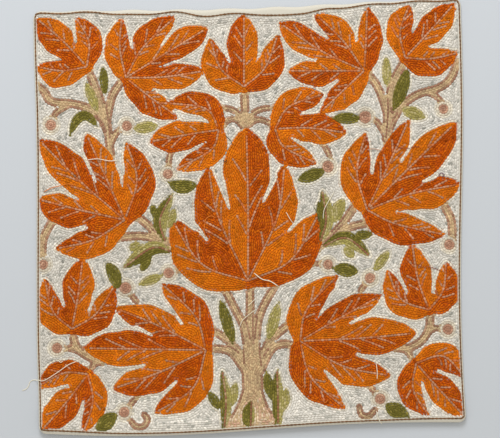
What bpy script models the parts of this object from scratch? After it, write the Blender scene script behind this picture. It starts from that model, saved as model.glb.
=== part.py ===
"""Crewel embroidery panel, lying flat with its stitched face up.

Frame: metres, +X across the panel, +Y up the design, +Z out of the stitched face.
The origin is on the resting plane, under the middle of the panel's outer box.

The panel is one square of cotton cloth, filled edge to edge with wool chain stitching, with
its edges turned to the back as a hem. A heavier brown row is stitched down all round, just
inside the edge. The cloth lies flat and lifts a little along its lower edge.
"""

import math

import bmesh
import bpy

MM = 0.001

# The panel: an 18 inch square, as uneven as hand work leaves it. Corners are (across, up).
PANEL_WIDTH = 457 * MM
PANEL_HEIGHT = 453 * MM
CORNER_RADIUS = 8 * MM
TOP_LEFT = (-226.3 * MM, 226.7 * MM)
TOP_RIGHT = (231.3 * MM, 229.7 * MM)
BOTTOM_LEFT = (-231.6 * MM, -224.1 * MM)
BOTTOM_RIGHT = (225.3 * MM, -224.1 * MM)

# How far each edge strays from the straight line between its corners
BOTTOM_BELLY = 2.7 * MM
BOTTOM_SWAY = 3.6 * MM
TOP_SAG = 3.7 * MM
TOP_PUCKER = 0.7 * MM
TOP_PUCKERS = 9
LEFT_SWAY = 1.3 * MM
LEFT_SWAY_START = 0.45
RIGHT_HOLLOW = 1.5 * MM
RIGHT_SWAY = 2.4 * MM

# Thickness: cotton and wool stitching, then the same with the hem turned under it
CLOTH_FULL = 2.2 * MM
HEM_FULL = 3.0 * MM
ROLLED_EDGE_FULL = 1.7 * MM
ROLLED_EDGE_RISE = 0.5 * MM
HEM_WIDTH = 14 * MM
HEM_STEP = 1 * MM
HEM_SEAM_DEPTH = 0.7 * MM

# The edge lifts: how far up, and over what width it leaves the surface
LOWER_LIFT = 2.7 * MM
LOWER_LIFT_REACH = 42 * MM
LOWER_LIFT_SWAY = 0.15
LOWER_LIFT_WAVES = 1.5

# The cloth rests flat inside a line bowed in between four points near its corners, and
# beyond that line it rises by a slight, even slope
REST_INSET = 15 * MM
REST_LOWER_INSET = 59.4 * MM
REST_BOW = 6 * MM
REST_SLOPE = 0.012
RELIEF = 0.25 * MM
RELIEF_LENGTH = 96 * MM
RELIEF_STRETCH = 0.8

# The stitched row round the edge; the first line of points lies this share of the way to it
ROLL_SHARE = 0.55
ROW_WIDTH = 2 * MM
ROW_HEIGHT = 0.9 * MM
ROW_CROWN = 0.3 * MM
ROW_GAP = 0.3 * MM
ROW_INSET = 2.7 * MM
TOP_ROW_INSET = 4.6 * MM
TOP_ROW_WANDER = 1.5 * MM
TOP_ROW_WAVES = 3
TOP_ROW_PHASE = -2.7

# Size of the faces in the middle of the cloth
CELL_ACROSS = 14 * MM
CELL_UP = 22 * MM


def smooth(value):
    """Ease from 0 to 1 as value goes from 0 to 1."""
    value = min(max(value, 0.0), 1.0)
    return value * value * (3 - 2 * value)


def edge_insets(row_inset):
    """Distances in from one edge at which the cloth has a line of points."""
    half = ROW_WIDTH / 2
    roll = (row_inset - half) * ROLL_SHARE
    shoulder = (row_inset + half + HEM_WIDTH) / 2
    row = [row_inset - half, row_inset, row_inset + half]
    seam = [HEM_WIDTH - HEM_STEP, HEM_WIDTH, HEM_WIDTH + HEM_STEP]
    return [0, roll] + row + [shoulder] + seam


def line_places(size, first_insets, last_insets, cell):
    """Places of all the lines across one direction, from -size / 2 to size / 2."""
    first = [inset - size / 2 for inset in first_insets]
    last = [size / 2 - inset for inset in reversed(last_insets)]
    cells = round((last[0] - first[-1]) / cell)
    step = (last[0] - first[-1]) / cells
    middle = [first[-1] + step * index for index in range(1, cells)]
    return first + middle + last


SIDE_INSETS = edge_insets(ROW_INSET)
TOP_INSETS = edge_insets(TOP_ROW_INSET)
ACROSS = line_places(PANEL_WIDTH, SIDE_INSETS, SIDE_INSETS, CELL_ACROSS)
UP = line_places(PANEL_HEIGHT, SIDE_INSETS, TOP_INSETS, CELL_UP)


def round_corner(across, up):
    """Pull a point of the square in, so that each corner becomes a quarter circle."""
    in_x = (abs(across) - PANEL_WIDTH / 2 + CORNER_RADIUS) / CORNER_RADIUS
    in_y = (abs(up) - PANEL_HEIGHT / 2 + CORNER_RADIUS) / CORNER_RADIUS
    if in_x <= 0 or in_y <= 0:
        return across, up
    new_x = in_x * math.sqrt(1 - in_y * in_y / 2)
    new_y = in_y * math.sqrt(1 - in_x * in_x / 2)
    across -= math.copysign((in_x - new_x) * CORNER_RADIUS, across)
    up -= math.copysign((in_y - new_y) * CORNER_RADIUS, up)
    return across, up


def wander(across, up):
    """How far the stitched row strays up or down where it follows the top edge."""
    inset = PANEL_HEIGHT / 2 - up
    near = 1 - abs(inset - TOP_ROW_INSET) / (HEM_WIDTH - TOP_ROW_INSET)
    near = smooth(min(near * 1.4, inset / (TOP_ROW_INSET - ROW_WIDTH / 2)))
    turn = 2 * math.pi * TOP_ROW_WAVES * (across / PANEL_WIDTH + 0.5) + TOP_ROW_PHASE
    return -TOP_ROW_WANDER * math.sin(turn) * near * smooth(
        (PANEL_WIDTH / 2 - abs(across)) / HEM_WIDTH)


def place(across, up):
    """Where a point of the square lies on the real, uneven panel, seen from above."""
    up += wander(across, up)
    across, up = round_corner(across, up)
    s = across / PANEL_WIDTH + 0.5
    t = up / PANEL_HEIGHT + 0.5
    left = BOTTOM_LEFT[0] + (TOP_LEFT[0] - BOTTOM_LEFT[0]) * t
    left += LEFT_SWAY * math.sin(2 * math.pi * (t - LEFT_SWAY_START)) * smooth(4 * min(t, 1 - t))
    right = BOTTOM_RIGHT[0] + (TOP_RIGHT[0] - BOTTOM_RIGHT[0]) * t
    right -= RIGHT_HOLLOW * math.sin(math.pi * t) + RIGHT_SWAY * math.sin(2 * math.pi * t)
    bottom = BOTTOM_LEFT[1] + (BOTTOM_RIGHT[1] - BOTTOM_LEFT[1]) * s
    bottom -= BOTTOM_BELLY * math.sin(math.pi * s) + BOTTOM_SWAY * math.sin(2 * math.pi * s)
    top = TOP_LEFT[1] + (TOP_RIGHT[1] - TOP_LEFT[1]) * s
    top -= TOP_SAG * math.sin(math.pi * s) ** 2
    top += TOP_PUCKER * math.sin(2 * math.pi * TOP_PUCKERS * s + 1) * smooth(3 * t - 2)
    return left + (right - left) * s, bottom + (top - bottom) * t


def beyond_rest(across, up):
    """Distance of a point outside the line that the cloth rests within, or 0 inside it."""
    half = PANEL_WIDTH / 2 - REST_INSET
    top = PANEL_HEIGHT / 2 - REST_INSET
    bottom = REST_LOWER_INSET - PANEL_HEIGHT / 2
    middle = (top + bottom) / 2
    bow_across = REST_BOW * max(0.0, 1 - (across / half) ** 2)
    bow_up = REST_BOW * max(0.0, 1 - ((up - middle) / (top - middle)) ** 2)
    at_side = abs(across) - half + bow_up
    at_top = up - top + bow_across
    at_bottom = bottom + bow_across - up
    return max(0.0, at_side, at_top, at_bottom)


def lift(across, up):
    """Height of the cloth's underside over the surface it lies on, without its seams."""
    low = smooth(1 - (up + PANEL_HEIGHT / 2) / LOWER_LIFT_REACH)
    along = math.cos(2 * math.pi * LOWER_LIFT_WAVES * (across / PANEL_WIDTH + 0.5))
    sway = 1 - LOWER_LIFT_SWAY * (1 - along)
    return LOWER_LIFT * sway * low + REST_SLOPE * beyond_rest(across, up)


def inset_of(across, up):
    """Distance in from the nearest edge of the square."""
    return min(PANEL_WIDTH / 2 - abs(across), PANEL_HEIGHT / 2 - abs(up))


def seam_groove(inset):
    """Rise of the underside at the folded edge of the hem, where the cloth steps over it."""
    return HEM_SEAM_DEPTH * max(0.0, 1 - abs(inset - HEM_WIDTH) / HEM_STEP)


def underside(across, up):
    """Height of the cloth's back."""
    inset = inset_of(across, up)
    roll = ROLLED_EDGE_RISE * (1 - smooth(inset / SIDE_INSETS[1]))
    return lift(across, up) + seam_groove(inset) + roll


def fullness(across, up):
    """Thickness of the cloth with its stitching, and with the hem along the edges."""
    inset = inset_of(across, up)
    hem = smooth((HEM_WIDTH + 2 * HEM_STEP - inset) / (3 * HEM_STEP))
    full = CLOTH_FULL + (HEM_FULL - CLOTH_FULL) * hem
    full += (ROLLED_EDGE_FULL - HEM_FULL) * (1 - smooth(inset / SIDE_INSETS[2]))
    turn = 2 * math.pi / RELIEF_LENGTH
    relief = RELIEF * math.sin(turn * across) * math.cos(turn * RELIEF_STRETCH * up)
    return full + relief * (1 - hem) - seam_groove(inset)


def lined_grid():
    """A flat grid whose points lie on the lines in ACROSS and UP."""
    grid = bmesh.new()
    bmesh.ops.create_grid(grid, x_segments=len(ACROSS) - 1, y_segments=len(UP) - 1, size=1)
    for point in grid.verts:
        column = round((point.co.x + 1) / 2 * (len(ACROSS) - 1))
        line = round((point.co.y + 1) / 2 * (len(UP) - 1))
        point.co = (ACROSS[column], UP[line], 0)
    return grid


def finish_sheet(name, grid, heights, thicknesses, colour, roughness):
    """Put a grid on the panel and thicken it upwards, point by point, with Solidify."""
    for point, height in zip(grid.verts, heights):
        x, y = place(point.co.x, point.co.y)
        point.co = (x, y, height)
    mesh = bpy.data.meshes.new(name)
    grid.to_mesh(mesh)
    grid.free()
    sheet = bpy.data.objects.new(name, mesh)
    fullest = max(thicknesses)
    group = sheet.vertex_groups.new(name="fullness")
    for index, thickness in enumerate(thicknesses):
        group.add([index], thickness / fullest, "REPLACE")
    wall = sheet.modifiers.new("thickness", "SOLIDIFY")
    wall.thickness = fullest
    wall.offset = 1
    wall.vertex_group = group.name
    mesh.materials.append(material(name, colour, roughness))
    mesh.shade_smooth()
    mesh.set_sharp_from_angle(angle=math.radians(40))
    return sheet


def material(name, colour, roughness):
    """A plain Principled finish for one sub-part."""
    finish = bpy.data.materials.new(name)
    finish.use_nodes = True
    shader = finish.node_tree.nodes["Principled BSDF"]
    shader.inputs["Base Color"].default_value = (*colour, 1)
    shader.inputs["Roughness"].default_value = roughness
    shader.inputs["Metallic"].default_value = 0
    return finish


def make_ground_cloth():
    """The cotton square with its stitched face and its turned hem, as one closed sheet."""
    grid = lined_grid()
    heights = [underside(point.co.x, point.co.y) for point in grid.verts]
    thicknesses = [fullness(point.co.x, point.co.y) for point in grid.verts]
    return finish_sheet("ground_cloth", grid, heights, thicknesses, (0.52, 0.49, 0.42), 0.95)


def row_place(across, up):
    """0 on the middle line of the edge row, 1 on its two sides, more elsewhere."""
    bottom = (up + PANEL_HEIGHT / 2 - ROW_INSET) / (ROW_WIDTH / 2)
    top = (PANEL_HEIGHT / 2 - up - TOP_ROW_INSET) / (ROW_WIDTH / 2)
    side = (PANEL_WIDTH / 2 - abs(across) - ROW_INSET) / (ROW_WIDTH / 2)
    nearest = min(bottom, top, side)
    return abs(nearest)


def make_edge_row():
    """The brown row: a flat ring on the cloth's own points, a hair above its face."""
    grid = lined_grid()
    outside = [point for point in grid.verts if row_place(point.co.x, point.co.y) > 1.01]
    bmesh.ops.delete(grid, geom=outside, context="VERTS")
    heights = []
    thicknesses = []
    for point in grid.verts:
        across, up = point.co.x, point.co.y
        face = underside(across, up) + fullness(across, up)
        crown = ROW_CROWN * (1 - row_place(across, up))
        heights.append(face + ROW_GAP)
        thicknesses.append(ROW_HEIGHT - ROW_CROWN + crown)
    return finish_sheet("edge_row", grid, heights, thicknesses, (0.16, 0.09, 0.05), 0.9)


def main():
    for old in list(bpy.data.objects):
        bpy.data.objects.remove(old, do_unlink=True)
    parts = bpy.data.collections.new("crewel_embroidery_panel")
    bpy.context.scene.collection.children.link(parts)
    for piece in (make_ground_cloth(), make_edge_row()):
        parts.objects.link(piece)


main()
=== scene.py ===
# %% [markdown]
# # A crewel embroidery panel
#
# The real thing is a square of cotton about 18 inches wide, filled edge to edge with chain
# stitch in wool. Orange leaves stand on branches round a short trunk, on a pale ground. Each
# stitch is a small loop of yarn, and the loops lie in rows that follow the outline of each
# motif, so the light catches the rows more than the colours. We could paint that on a flat
# sheet, but a painted row has no shadow. So we work out the rows as lines, lay a small closed
# loop of yarn along every line, and let the light do the rest.

import math

import bpy
import numpy as np
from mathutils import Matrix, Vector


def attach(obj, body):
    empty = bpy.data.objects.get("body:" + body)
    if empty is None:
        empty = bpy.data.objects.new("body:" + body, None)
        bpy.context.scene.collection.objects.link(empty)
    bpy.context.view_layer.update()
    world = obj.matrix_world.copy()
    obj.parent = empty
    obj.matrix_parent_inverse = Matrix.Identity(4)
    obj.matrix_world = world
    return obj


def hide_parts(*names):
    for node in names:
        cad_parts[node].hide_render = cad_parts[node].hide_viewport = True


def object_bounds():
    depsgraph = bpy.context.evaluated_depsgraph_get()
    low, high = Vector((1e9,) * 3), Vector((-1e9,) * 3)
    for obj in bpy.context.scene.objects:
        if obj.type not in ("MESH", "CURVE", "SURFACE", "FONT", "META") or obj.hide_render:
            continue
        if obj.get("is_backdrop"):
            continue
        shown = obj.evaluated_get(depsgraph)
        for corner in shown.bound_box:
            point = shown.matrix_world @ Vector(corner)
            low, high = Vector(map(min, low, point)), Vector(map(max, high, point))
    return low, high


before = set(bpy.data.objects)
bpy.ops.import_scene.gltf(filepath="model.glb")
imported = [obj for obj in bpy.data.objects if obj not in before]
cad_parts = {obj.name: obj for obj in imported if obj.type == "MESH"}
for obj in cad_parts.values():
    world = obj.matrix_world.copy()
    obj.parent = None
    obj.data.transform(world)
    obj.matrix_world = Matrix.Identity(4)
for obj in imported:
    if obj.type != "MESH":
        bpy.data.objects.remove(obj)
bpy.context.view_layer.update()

# %% [markdown]
# ## The panel's form
#
# Hand-worked cloth is never a true square: the sides wander, the top sags and puckers, and the
# lower edge lifts off the table. The solids already have this form. We repeat their named
# sizes here and work out the same form for whole arrays of points, so that the yarn lies
# exactly on the cloth. Only the brown row round the edge has a finer course of its own here:
# it bends further in along the top and at the lower corners.

# %% Sizes of the panel
MM = 0.001
PANEL_WIDTH = 457 * MM
PANEL_HEIGHT = 453 * MM
CORNER_RADIUS = 8 * MM
TOP_LEFT = (-226.3 * MM, 226.7 * MM)
TOP_RIGHT = (231.3 * MM, 229.7 * MM)
BOTTOM_LEFT = (-231.6 * MM, -224.1 * MM)
BOTTOM_RIGHT = (225.3 * MM, -224.1 * MM)
BOTTOM_BELLY = 2.7 * MM
BOTTOM_SWAY = 3.6 * MM
TOP_SAG = 3.7 * MM
TOP_PUCKER = 0.7 * MM
TOP_PUCKERS = 9
LEFT_SWAY = 1.3 * MM
LEFT_SWAY_START = 0.45
RIGHT_HOLLOW = 1.5 * MM
RIGHT_SWAY = 2.4 * MM
CLOTH_FULL = 2.2 * MM
HEM_FULL = 3.0 * MM
ROLLED_EDGE_FULL = 1.7 * MM
ROLLED_EDGE_RISE = 0.5 * MM
HEM_WIDTH = 14 * MM
HEM_STEP = 1 * MM
HEM_SEAM_DEPTH = 0.7 * MM
LOWER_LIFT = 2.7 * MM
LOWER_LIFT_REACH = 42 * MM
LOWER_LIFT_SWAY = 0.15
LOWER_LIFT_WAVES = 1.5
REST_INSET = 15 * MM
REST_LOWER_INSET = 59.4 * MM
REST_BOW = 6 * MM
REST_SLOPE = 0.012
RELIEF = 0.25 * MM
RELIEF_LENGTH = 96 * MM
RELIEF_STRETCH = 0.8
ROLL_INSET = 0.935 * MM
ROW_WIDTH = 2 * MM
ROW_INSET = 2.7 * MM
EDGE_INSET = 1.7 * MM
# Where the brown row bends inwards: middle and half width in shares of the width, mm
TOP_DIPS = [(0.236, 0.1, 3.1), (0.405, 0.09, 3.4), (0.572, 0.085, 3.2), (0.645, 0.045, 1.6),
            (0.58, 0.3, 4.0)]
LOW_DIPS = [(0.5, 1.5, 1.0), (0.05, 0.16, 1.2), (0.97, 0.2, 1.5)]
print("panel", PANEL_WIDTH / MM, "by", PANEL_HEIGHT / MM, "mm")


# %% Where a point of the square lies on the uneven panel
def smooth(value):
    """Ease from 0 to 1: three times the square less twice the cube."""
    value = np.clip(value, 0, 1)
    return value * value * (3 - 2 * value)


def round_corner(across, up):
    """Pull points in so that each corner of the square becomes a quarter circle."""
    in_x = np.clip((np.abs(across) - PANEL_WIDTH / 2 + CORNER_RADIUS) / CORNER_RADIUS, 0, 1)
    in_y = np.clip((np.abs(up) - PANEL_HEIGHT / 2 + CORNER_RADIUS) / CORNER_RADIUS, 0, 1)
    new_x = in_x * np.sqrt(1 - in_y * in_y / 2)
    new_y = in_y * np.sqrt(1 - in_x * in_x / 2)
    across = across - np.sign(across) * (in_x - new_x) * CORNER_RADIUS
    up = up - np.sign(up) * (in_y - new_y) * CORNER_RADIUS
    return across, up


def row_inset(across, dips):
    """Distance of the brown row from an edge: each dip adds a squared cosine."""
    inset = EDGE_INSET + 0 * across
    for middle, half, depth in dips:
        along = np.clip((across / PANEL_WIDTH + 0.5 - middle) / half, -1, 1)
        inset = inset + depth * MM * np.cos(math.pi / 2 * along) ** 2
    return inset


def place(across, up):
    """Points of the square on the real panel: each lies between the four swaying edges."""
    across, up = round_corner(across, up)
    s = across / PANEL_WIDTH + 0.5
    t = up / PANEL_HEIGHT + 0.5
    left = BOTTOM_LEFT[0] + (TOP_LEFT[0] - BOTTOM_LEFT[0]) * t
    sway = np.sin(2 * math.pi * (t - LEFT_SWAY_START)) * smooth(4 * np.minimum(t, 1 - t))
    left = left + LEFT_SWAY * sway
    right = BOTTOM_RIGHT[0] + (TOP_RIGHT[0] - BOTTOM_RIGHT[0]) * t
    right = right - RIGHT_HOLLOW * np.sin(math.pi * t) - RIGHT_SWAY * np.sin(2 * math.pi * t)
    bottom = BOTTOM_LEFT[1] + (BOTTOM_RIGHT[1] - BOTTOM_LEFT[1]) * s
    bottom = bottom - BOTTOM_BELLY * np.sin(math.pi * s) - BOTTOM_SWAY * np.sin(2 * math.pi * s)
    top = TOP_LEFT[1] + (TOP_RIGHT[1] - TOP_LEFT[1]) * s
    top = top - TOP_SAG * np.sin(math.pi * s) ** 2
    pucker = np.sin(2 * math.pi * TOP_PUCKERS * s + 1) * smooth(3 * t - 2)
    top = top + TOP_PUCKER * pucker
    return left + (right - left) * s, bottom + (top - bottom) * t


UNDO_ROUNDS = 10
UNDO_SHARE = 0.8


def square_of(x, y):
    """Undo place(): start at the point and take off the error until it is gone."""
    across, up = x.copy(), y.copy()
    half_wide, half_high = PANEL_WIDTH / 2, PANEL_HEIGHT / 2
    for _ in range(UNDO_ROUNDS):
        px, py = place(across, up)
        across = np.clip(across + UNDO_SHARE * (x - px), -half_wide, half_wide)
        up = np.clip(up + UNDO_SHARE * (y - py), -half_high, half_high)
    px, py = place(across, up)
    return across, up, np.hypot(x - px, y - py)


corner = place(np.array([PANEL_WIDTH / 2]), np.array([PANEL_HEIGHT / 2]))
print("top right corner at", *[round(float(side[0]) / MM, 1) for side in corner], "mm")

# %% Heights of the cloth's back and face
def inset_of(across, up):
    """Distance in from the nearest edge of the square."""
    return np.minimum(PANEL_WIDTH / 2 - np.abs(across), PANEL_HEIGHT / 2 - np.abs(up))


def seam_groove(inset):
    """Rise of the back where the cloth steps over the folded edge of the hem."""
    return HEM_SEAM_DEPTH * np.maximum(0, 1 - np.abs(inset - HEM_WIDTH) / HEM_STEP)


def beyond_rest(across, up):
    """Distance outside the line that the cloth rests within: four sides bowed inwards."""
    half = PANEL_WIDTH / 2 - REST_INSET
    top = PANEL_HEIGHT / 2 - REST_INSET
    bottom = REST_LOWER_INSET - PANEL_HEIGHT / 2
    middle = (top + bottom) / 2
    bow_across = REST_BOW * np.maximum(0, 1 - (across / half) ** 2)
    bow_up = REST_BOW * np.maximum(0, 1 - ((up - middle) / (top - middle)) ** 2)
    at_side = np.abs(across) - half + bow_up
    at_end = np.maximum(up - top, bottom - up) + bow_across
    return np.maximum(0, np.maximum(at_side, at_end))


def underside(across, up):
    """Height of the back: a slight slope, the lower edge's lift, the seam and the rolled rim."""
    inset = inset_of(across, up)
    low = smooth(1 - (up + PANEL_HEIGHT / 2) / LOWER_LIFT_REACH)
    along = np.cos(2 * math.pi * LOWER_LIFT_WAVES * (across / PANEL_WIDTH + 0.5))
    lift = LOWER_LIFT * (1 - LOWER_LIFT_SWAY * (1 - along)) * low
    roll = ROLLED_EDGE_RISE * (1 - smooth(inset / ROLL_INSET))
    return lift + REST_SLOPE * beyond_rest(across, up) + seam_groove(inset) + roll


def fullness(across, up):
    """Thickness of cloth and stitching: thicker over the hem, thin at the rolled rim."""
    inset = inset_of(across, up)
    hem = smooth((HEM_WIDTH + 2 * HEM_STEP - inset) / (3 * HEM_STEP))
    full = CLOTH_FULL + (HEM_FULL - CLOTH_FULL) * hem
    rim = 1 - smooth(inset / (ROW_INSET - ROW_WIDTH / 2))
    full = full + (ROLLED_EDGE_FULL - HEM_FULL) * rim
    turn = 2 * math.pi / RELIEF_LENGTH
    relief = RELIEF * np.sin(turn * across) * np.cos(turn * RELIEF_STRETCH * up)
    return full + relief * (1 - hem) - seam_groove(inset)


thick = fullness(np.zeros(1), np.zeros(1))[0]
print("the middle is", round(float(thick) / MM, 2), "mm thick")

# %% [markdown]
# ## A sheet of squared paper
#
# A pattern maker draws the leaves on paper before any yarn is laid. We do the same on a fine
# grid of half-millimetre squares: each square learns which motif covers it and how far it is
# from the motif's edge. The rows of stitches are then the lines of equal distance, just as a
# stitcher works round and round inside an outline.

# %% The squared paper
CELL = 0.5 * MM
MISS_MOST = 0.3 * MM
PAPER_HALF = (236 * MM, 234 * MM)
COLS = int(round(2 * PAPER_HALF[0] / CELL)) + 1
LINES = int(round(2 * PAPER_HALF[1] / CELL)) + 1
PAPER_X = np.linspace(-PAPER_HALF[0], PAPER_HALF[0], COLS)
PAPER_Y = np.linspace(-PAPER_HALF[1], PAPER_HALF[1], LINES)
paper_x, paper_y = np.meshgrid(PAPER_X, PAPER_Y)
across, up, miss = square_of(paper_x, paper_y)
inset = inset_of(across, up)
on_panel_mask = miss < MISS_MOST
face_height = underside(across, up) + fullness(across, up)


def inside_row(across, up):
    """Distance in from the brown row's inner side: the least of the four sides' distances."""
    low = up + PANEL_HEIGHT / 2 - row_inset(across, LOW_DIPS)
    high = PANEL_HEIGHT / 2 - up - row_inset(across, TOP_DIPS)
    beside = PANEL_WIDTH / 2 - np.abs(across) - EDGE_INSET
    return np.minimum(np.minimum(low, high), beside) - ROW_WIDTH / 2


to_row = inside_row(across, up)
print("paper of", COLS, "by", LINES, "squares, panel covers", int(on_panel_mask.sum()))


def read_paper(values, x, y):
    """Values between the squares' middles: a weighted mean of the four nearest ones."""
    i = np.clip((x + PAPER_HALF[0]) / CELL, 0, COLS - 1.001)
    j = np.clip((y + PAPER_HALF[1]) / CELL, 0, LINES - 1.001)
    i0, j0 = i.astype(int), j.astype(int)
    fi, fj = i - i0, j - j0
    low = values[j0, i0] * (1 - fi) + values[j0, i0 + 1] * fi
    high = values[j0 + 1, i0] * (1 - fi) + values[j0 + 1, i0 + 1] * fi
    return low * (1 - fj) + high * fj


def square_under(x, y, margin=0):
    """Line and column of the nearest square, at least margin squares from the paper's edge."""
    i = np.rint((x + PAPER_HALF[0]) / CELL).astype(int)
    j = np.rint((y + PAPER_HALF[1]) / CELL).astype(int)
    return np.clip(j, margin, LINES - 1 - margin), np.clip(i, margin, COLS - 1 - margin)


def square_at(values, x, y):
    """The value of the nearest square."""
    return values[square_under(x, y)]


# %% Drawing units
# The drawing below is laid out in units of a 500 by 438 sheet that is seen from straight
# above, with y running down and the panel turned by a degree and a half.
PANEL_UNITS = 426
UNIT = PANEL_WIDTH / PANEL_UNITS
SHEET_MIDDLE = (250.1, 218.3)
PANEL_TURN = math.radians(1.5)


def drawn(places):
    """Sheet units to metres on the panel: shift, scale, flip, and undo the turn."""
    places = np.asarray(places, dtype=float)
    x = (places[..., 0] - SHEET_MIDDLE[0]) * UNIT
    y = (SHEET_MIDDLE[1] - places[..., 1]) * UNIT
    c, s = math.cos(PANEL_TURN), math.sin(PANEL_TURN)
    return np.stack([x * c + y * s, y * c - x * s], axis=-1)


CURVE_STEPS = 24


def curve_through(points, count):
    """A smooth curve through a few points, read at count even steps.

    Each span is a cubic: its slope at a point is half the step between that point's
    neighbours."""
    p = np.asarray(points, dtype=float)
    if len(p) == 2:
        return p[0] + (p[1] - p[0]) * np.linspace(0, 1, count)[:, None]
    p = np.vstack([2 * p[0] - p[1], p, 2 * p[-1] - p[-2]])
    t = np.linspace(0, 1, CURVE_STEPS, endpoint=False)[None, :, None]
    a, b, c, d = (p[k:len(p) - 3 + k, None, :] for k in range(4))
    spans = 0.5 * (2 * b + (c - a) * t + (2 * a - 5 * b + 4 * c - d) * t ** 2
                   + (3 * b - a - 3 * c + d) * t ** 3)
    curve = np.vstack([spans.reshape(-1, 2), p[-2:-1]])
    along = np.concatenate([[0], np.cumsum(np.hypot(*np.diff(curve, axis=0).T))])
    steps = np.linspace(0, along[-1], count)
    return np.stack([np.interp(steps, along, curve[:, k]) for k in (0, 1)], axis=-1)


def normals_of(path):
    """Unit vectors square to a path, pointing to its left."""
    tangent = np.gradient(path, axis=0)
    tangent /= np.hypot(*tangent.T)[:, None] + 1e-12
    return np.stack([-tangent[:, 1], tangent[:, 0]], axis=-1)


print("one unit is", round(UNIT / MM, 3), "mm")

# %% [markdown]
# ## Leaves from a rule
#
# A plane-tree leaf is a fan of pointed lobes. Each lobe is one rib that bends from the heel of
# the leaf to a tip, with a width to either side that swells and then runs out to the point. The
# same two profiles make every lobe, so a leaf needs only its heel and, for each lobe, where the
# rib bends, where it ends, and how wide it is before and after the rib.

# %% Profiles and the squares that a lobe covers
LOBE_ALONG = (0, 0.2, 0.4, 0.6, 0.75, 0.88, 0.95, 1)
LOBE_WIDE = (0.34, 0.64, 0.87, 1.0, 0.88, 0.56, 0.28, 0)
LOBE_FULLEST = 0.6
LENS_ALONG = (0, 0.12, 0.3, 0.5, 0.7, 0.88, 1)
LENS_WIDE = (0, 0.5, 0.88, 1.0, 0.88, 0.5, 0)
FINE_STEPS = 200
SOFT_OVER = 12


def profile(along, wide, count):
    """A width for each step along a path, eased between the few that are given."""
    fine = np.linspace(0, 1, FINE_STEPS)
    raw = np.interp(fine, along, wide)
    kernel = np.hanning(2 * SOFT_OVER + 1)
    padded = np.concatenate([2 * raw[0] - raw[SOFT_OVER:0:-1], raw,
                             2 * raw[-1] - raw[-2:-SOFT_OVER - 2:-1]])
    soft = np.convolve(padded, kernel / kernel.sum(), mode="valid")
    return np.clip(np.interp(np.linspace(0, 1, count), fine, soft), 0, None)


def ribbon(path, left, right):
    """The squares near a path: which block of the paper, and each square's side share.

    The side share is the distance to the path over the path's width there, positive to the
    left, so squares with a share between -1 and 1 are covered."""
    reach = max(left.max(), right.max())
    i0, i1 = np.searchsorted(PAPER_X, (path[:, 0].min() - reach, path[:, 0].max() + reach))
    j0, j1 = np.searchsorted(PAPER_Y, (path[:, 1].min() - reach, path[:, 1].max() + reach))
    block = (slice(j0, j1), slice(i0, i1))
    xs, ys = paper_x[block], paper_y[block]
    best = np.full(xs.shape, np.inf)
    where = np.zeros(xs.shape, dtype=int)
    for step, (px, py) in enumerate(path):
        d = (xs - px) ** 2 + (ys - py) ** 2
        closer = d < best
        best[closer] = d[closer]
        where[closer] = step
    normal = normals_of(path)
    side = (xs - path[where, 0]) * normal[where, 0] + (ys - path[where, 1]) * normal[where, 1]
    width = np.where(side > 0, left[where], right[where])
    return block, np.sign(side) * np.sqrt(best) / np.maximum(width, 1e-6)


print("a lobe is widest", LOBE_FULLEST, "of the way to its tip, unless it says otherwise")

# %% The leaves
def lobe(rib, tip, before, after, fullest=LOBE_FULLEST):
    """One lobe: a point its rib bends through, its tip, its width on either side of the rib,
    and how far along it is widest."""
    return {"rib": rib, "tip": tip, "before": before, "after": after, "fullest": fullest}


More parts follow.
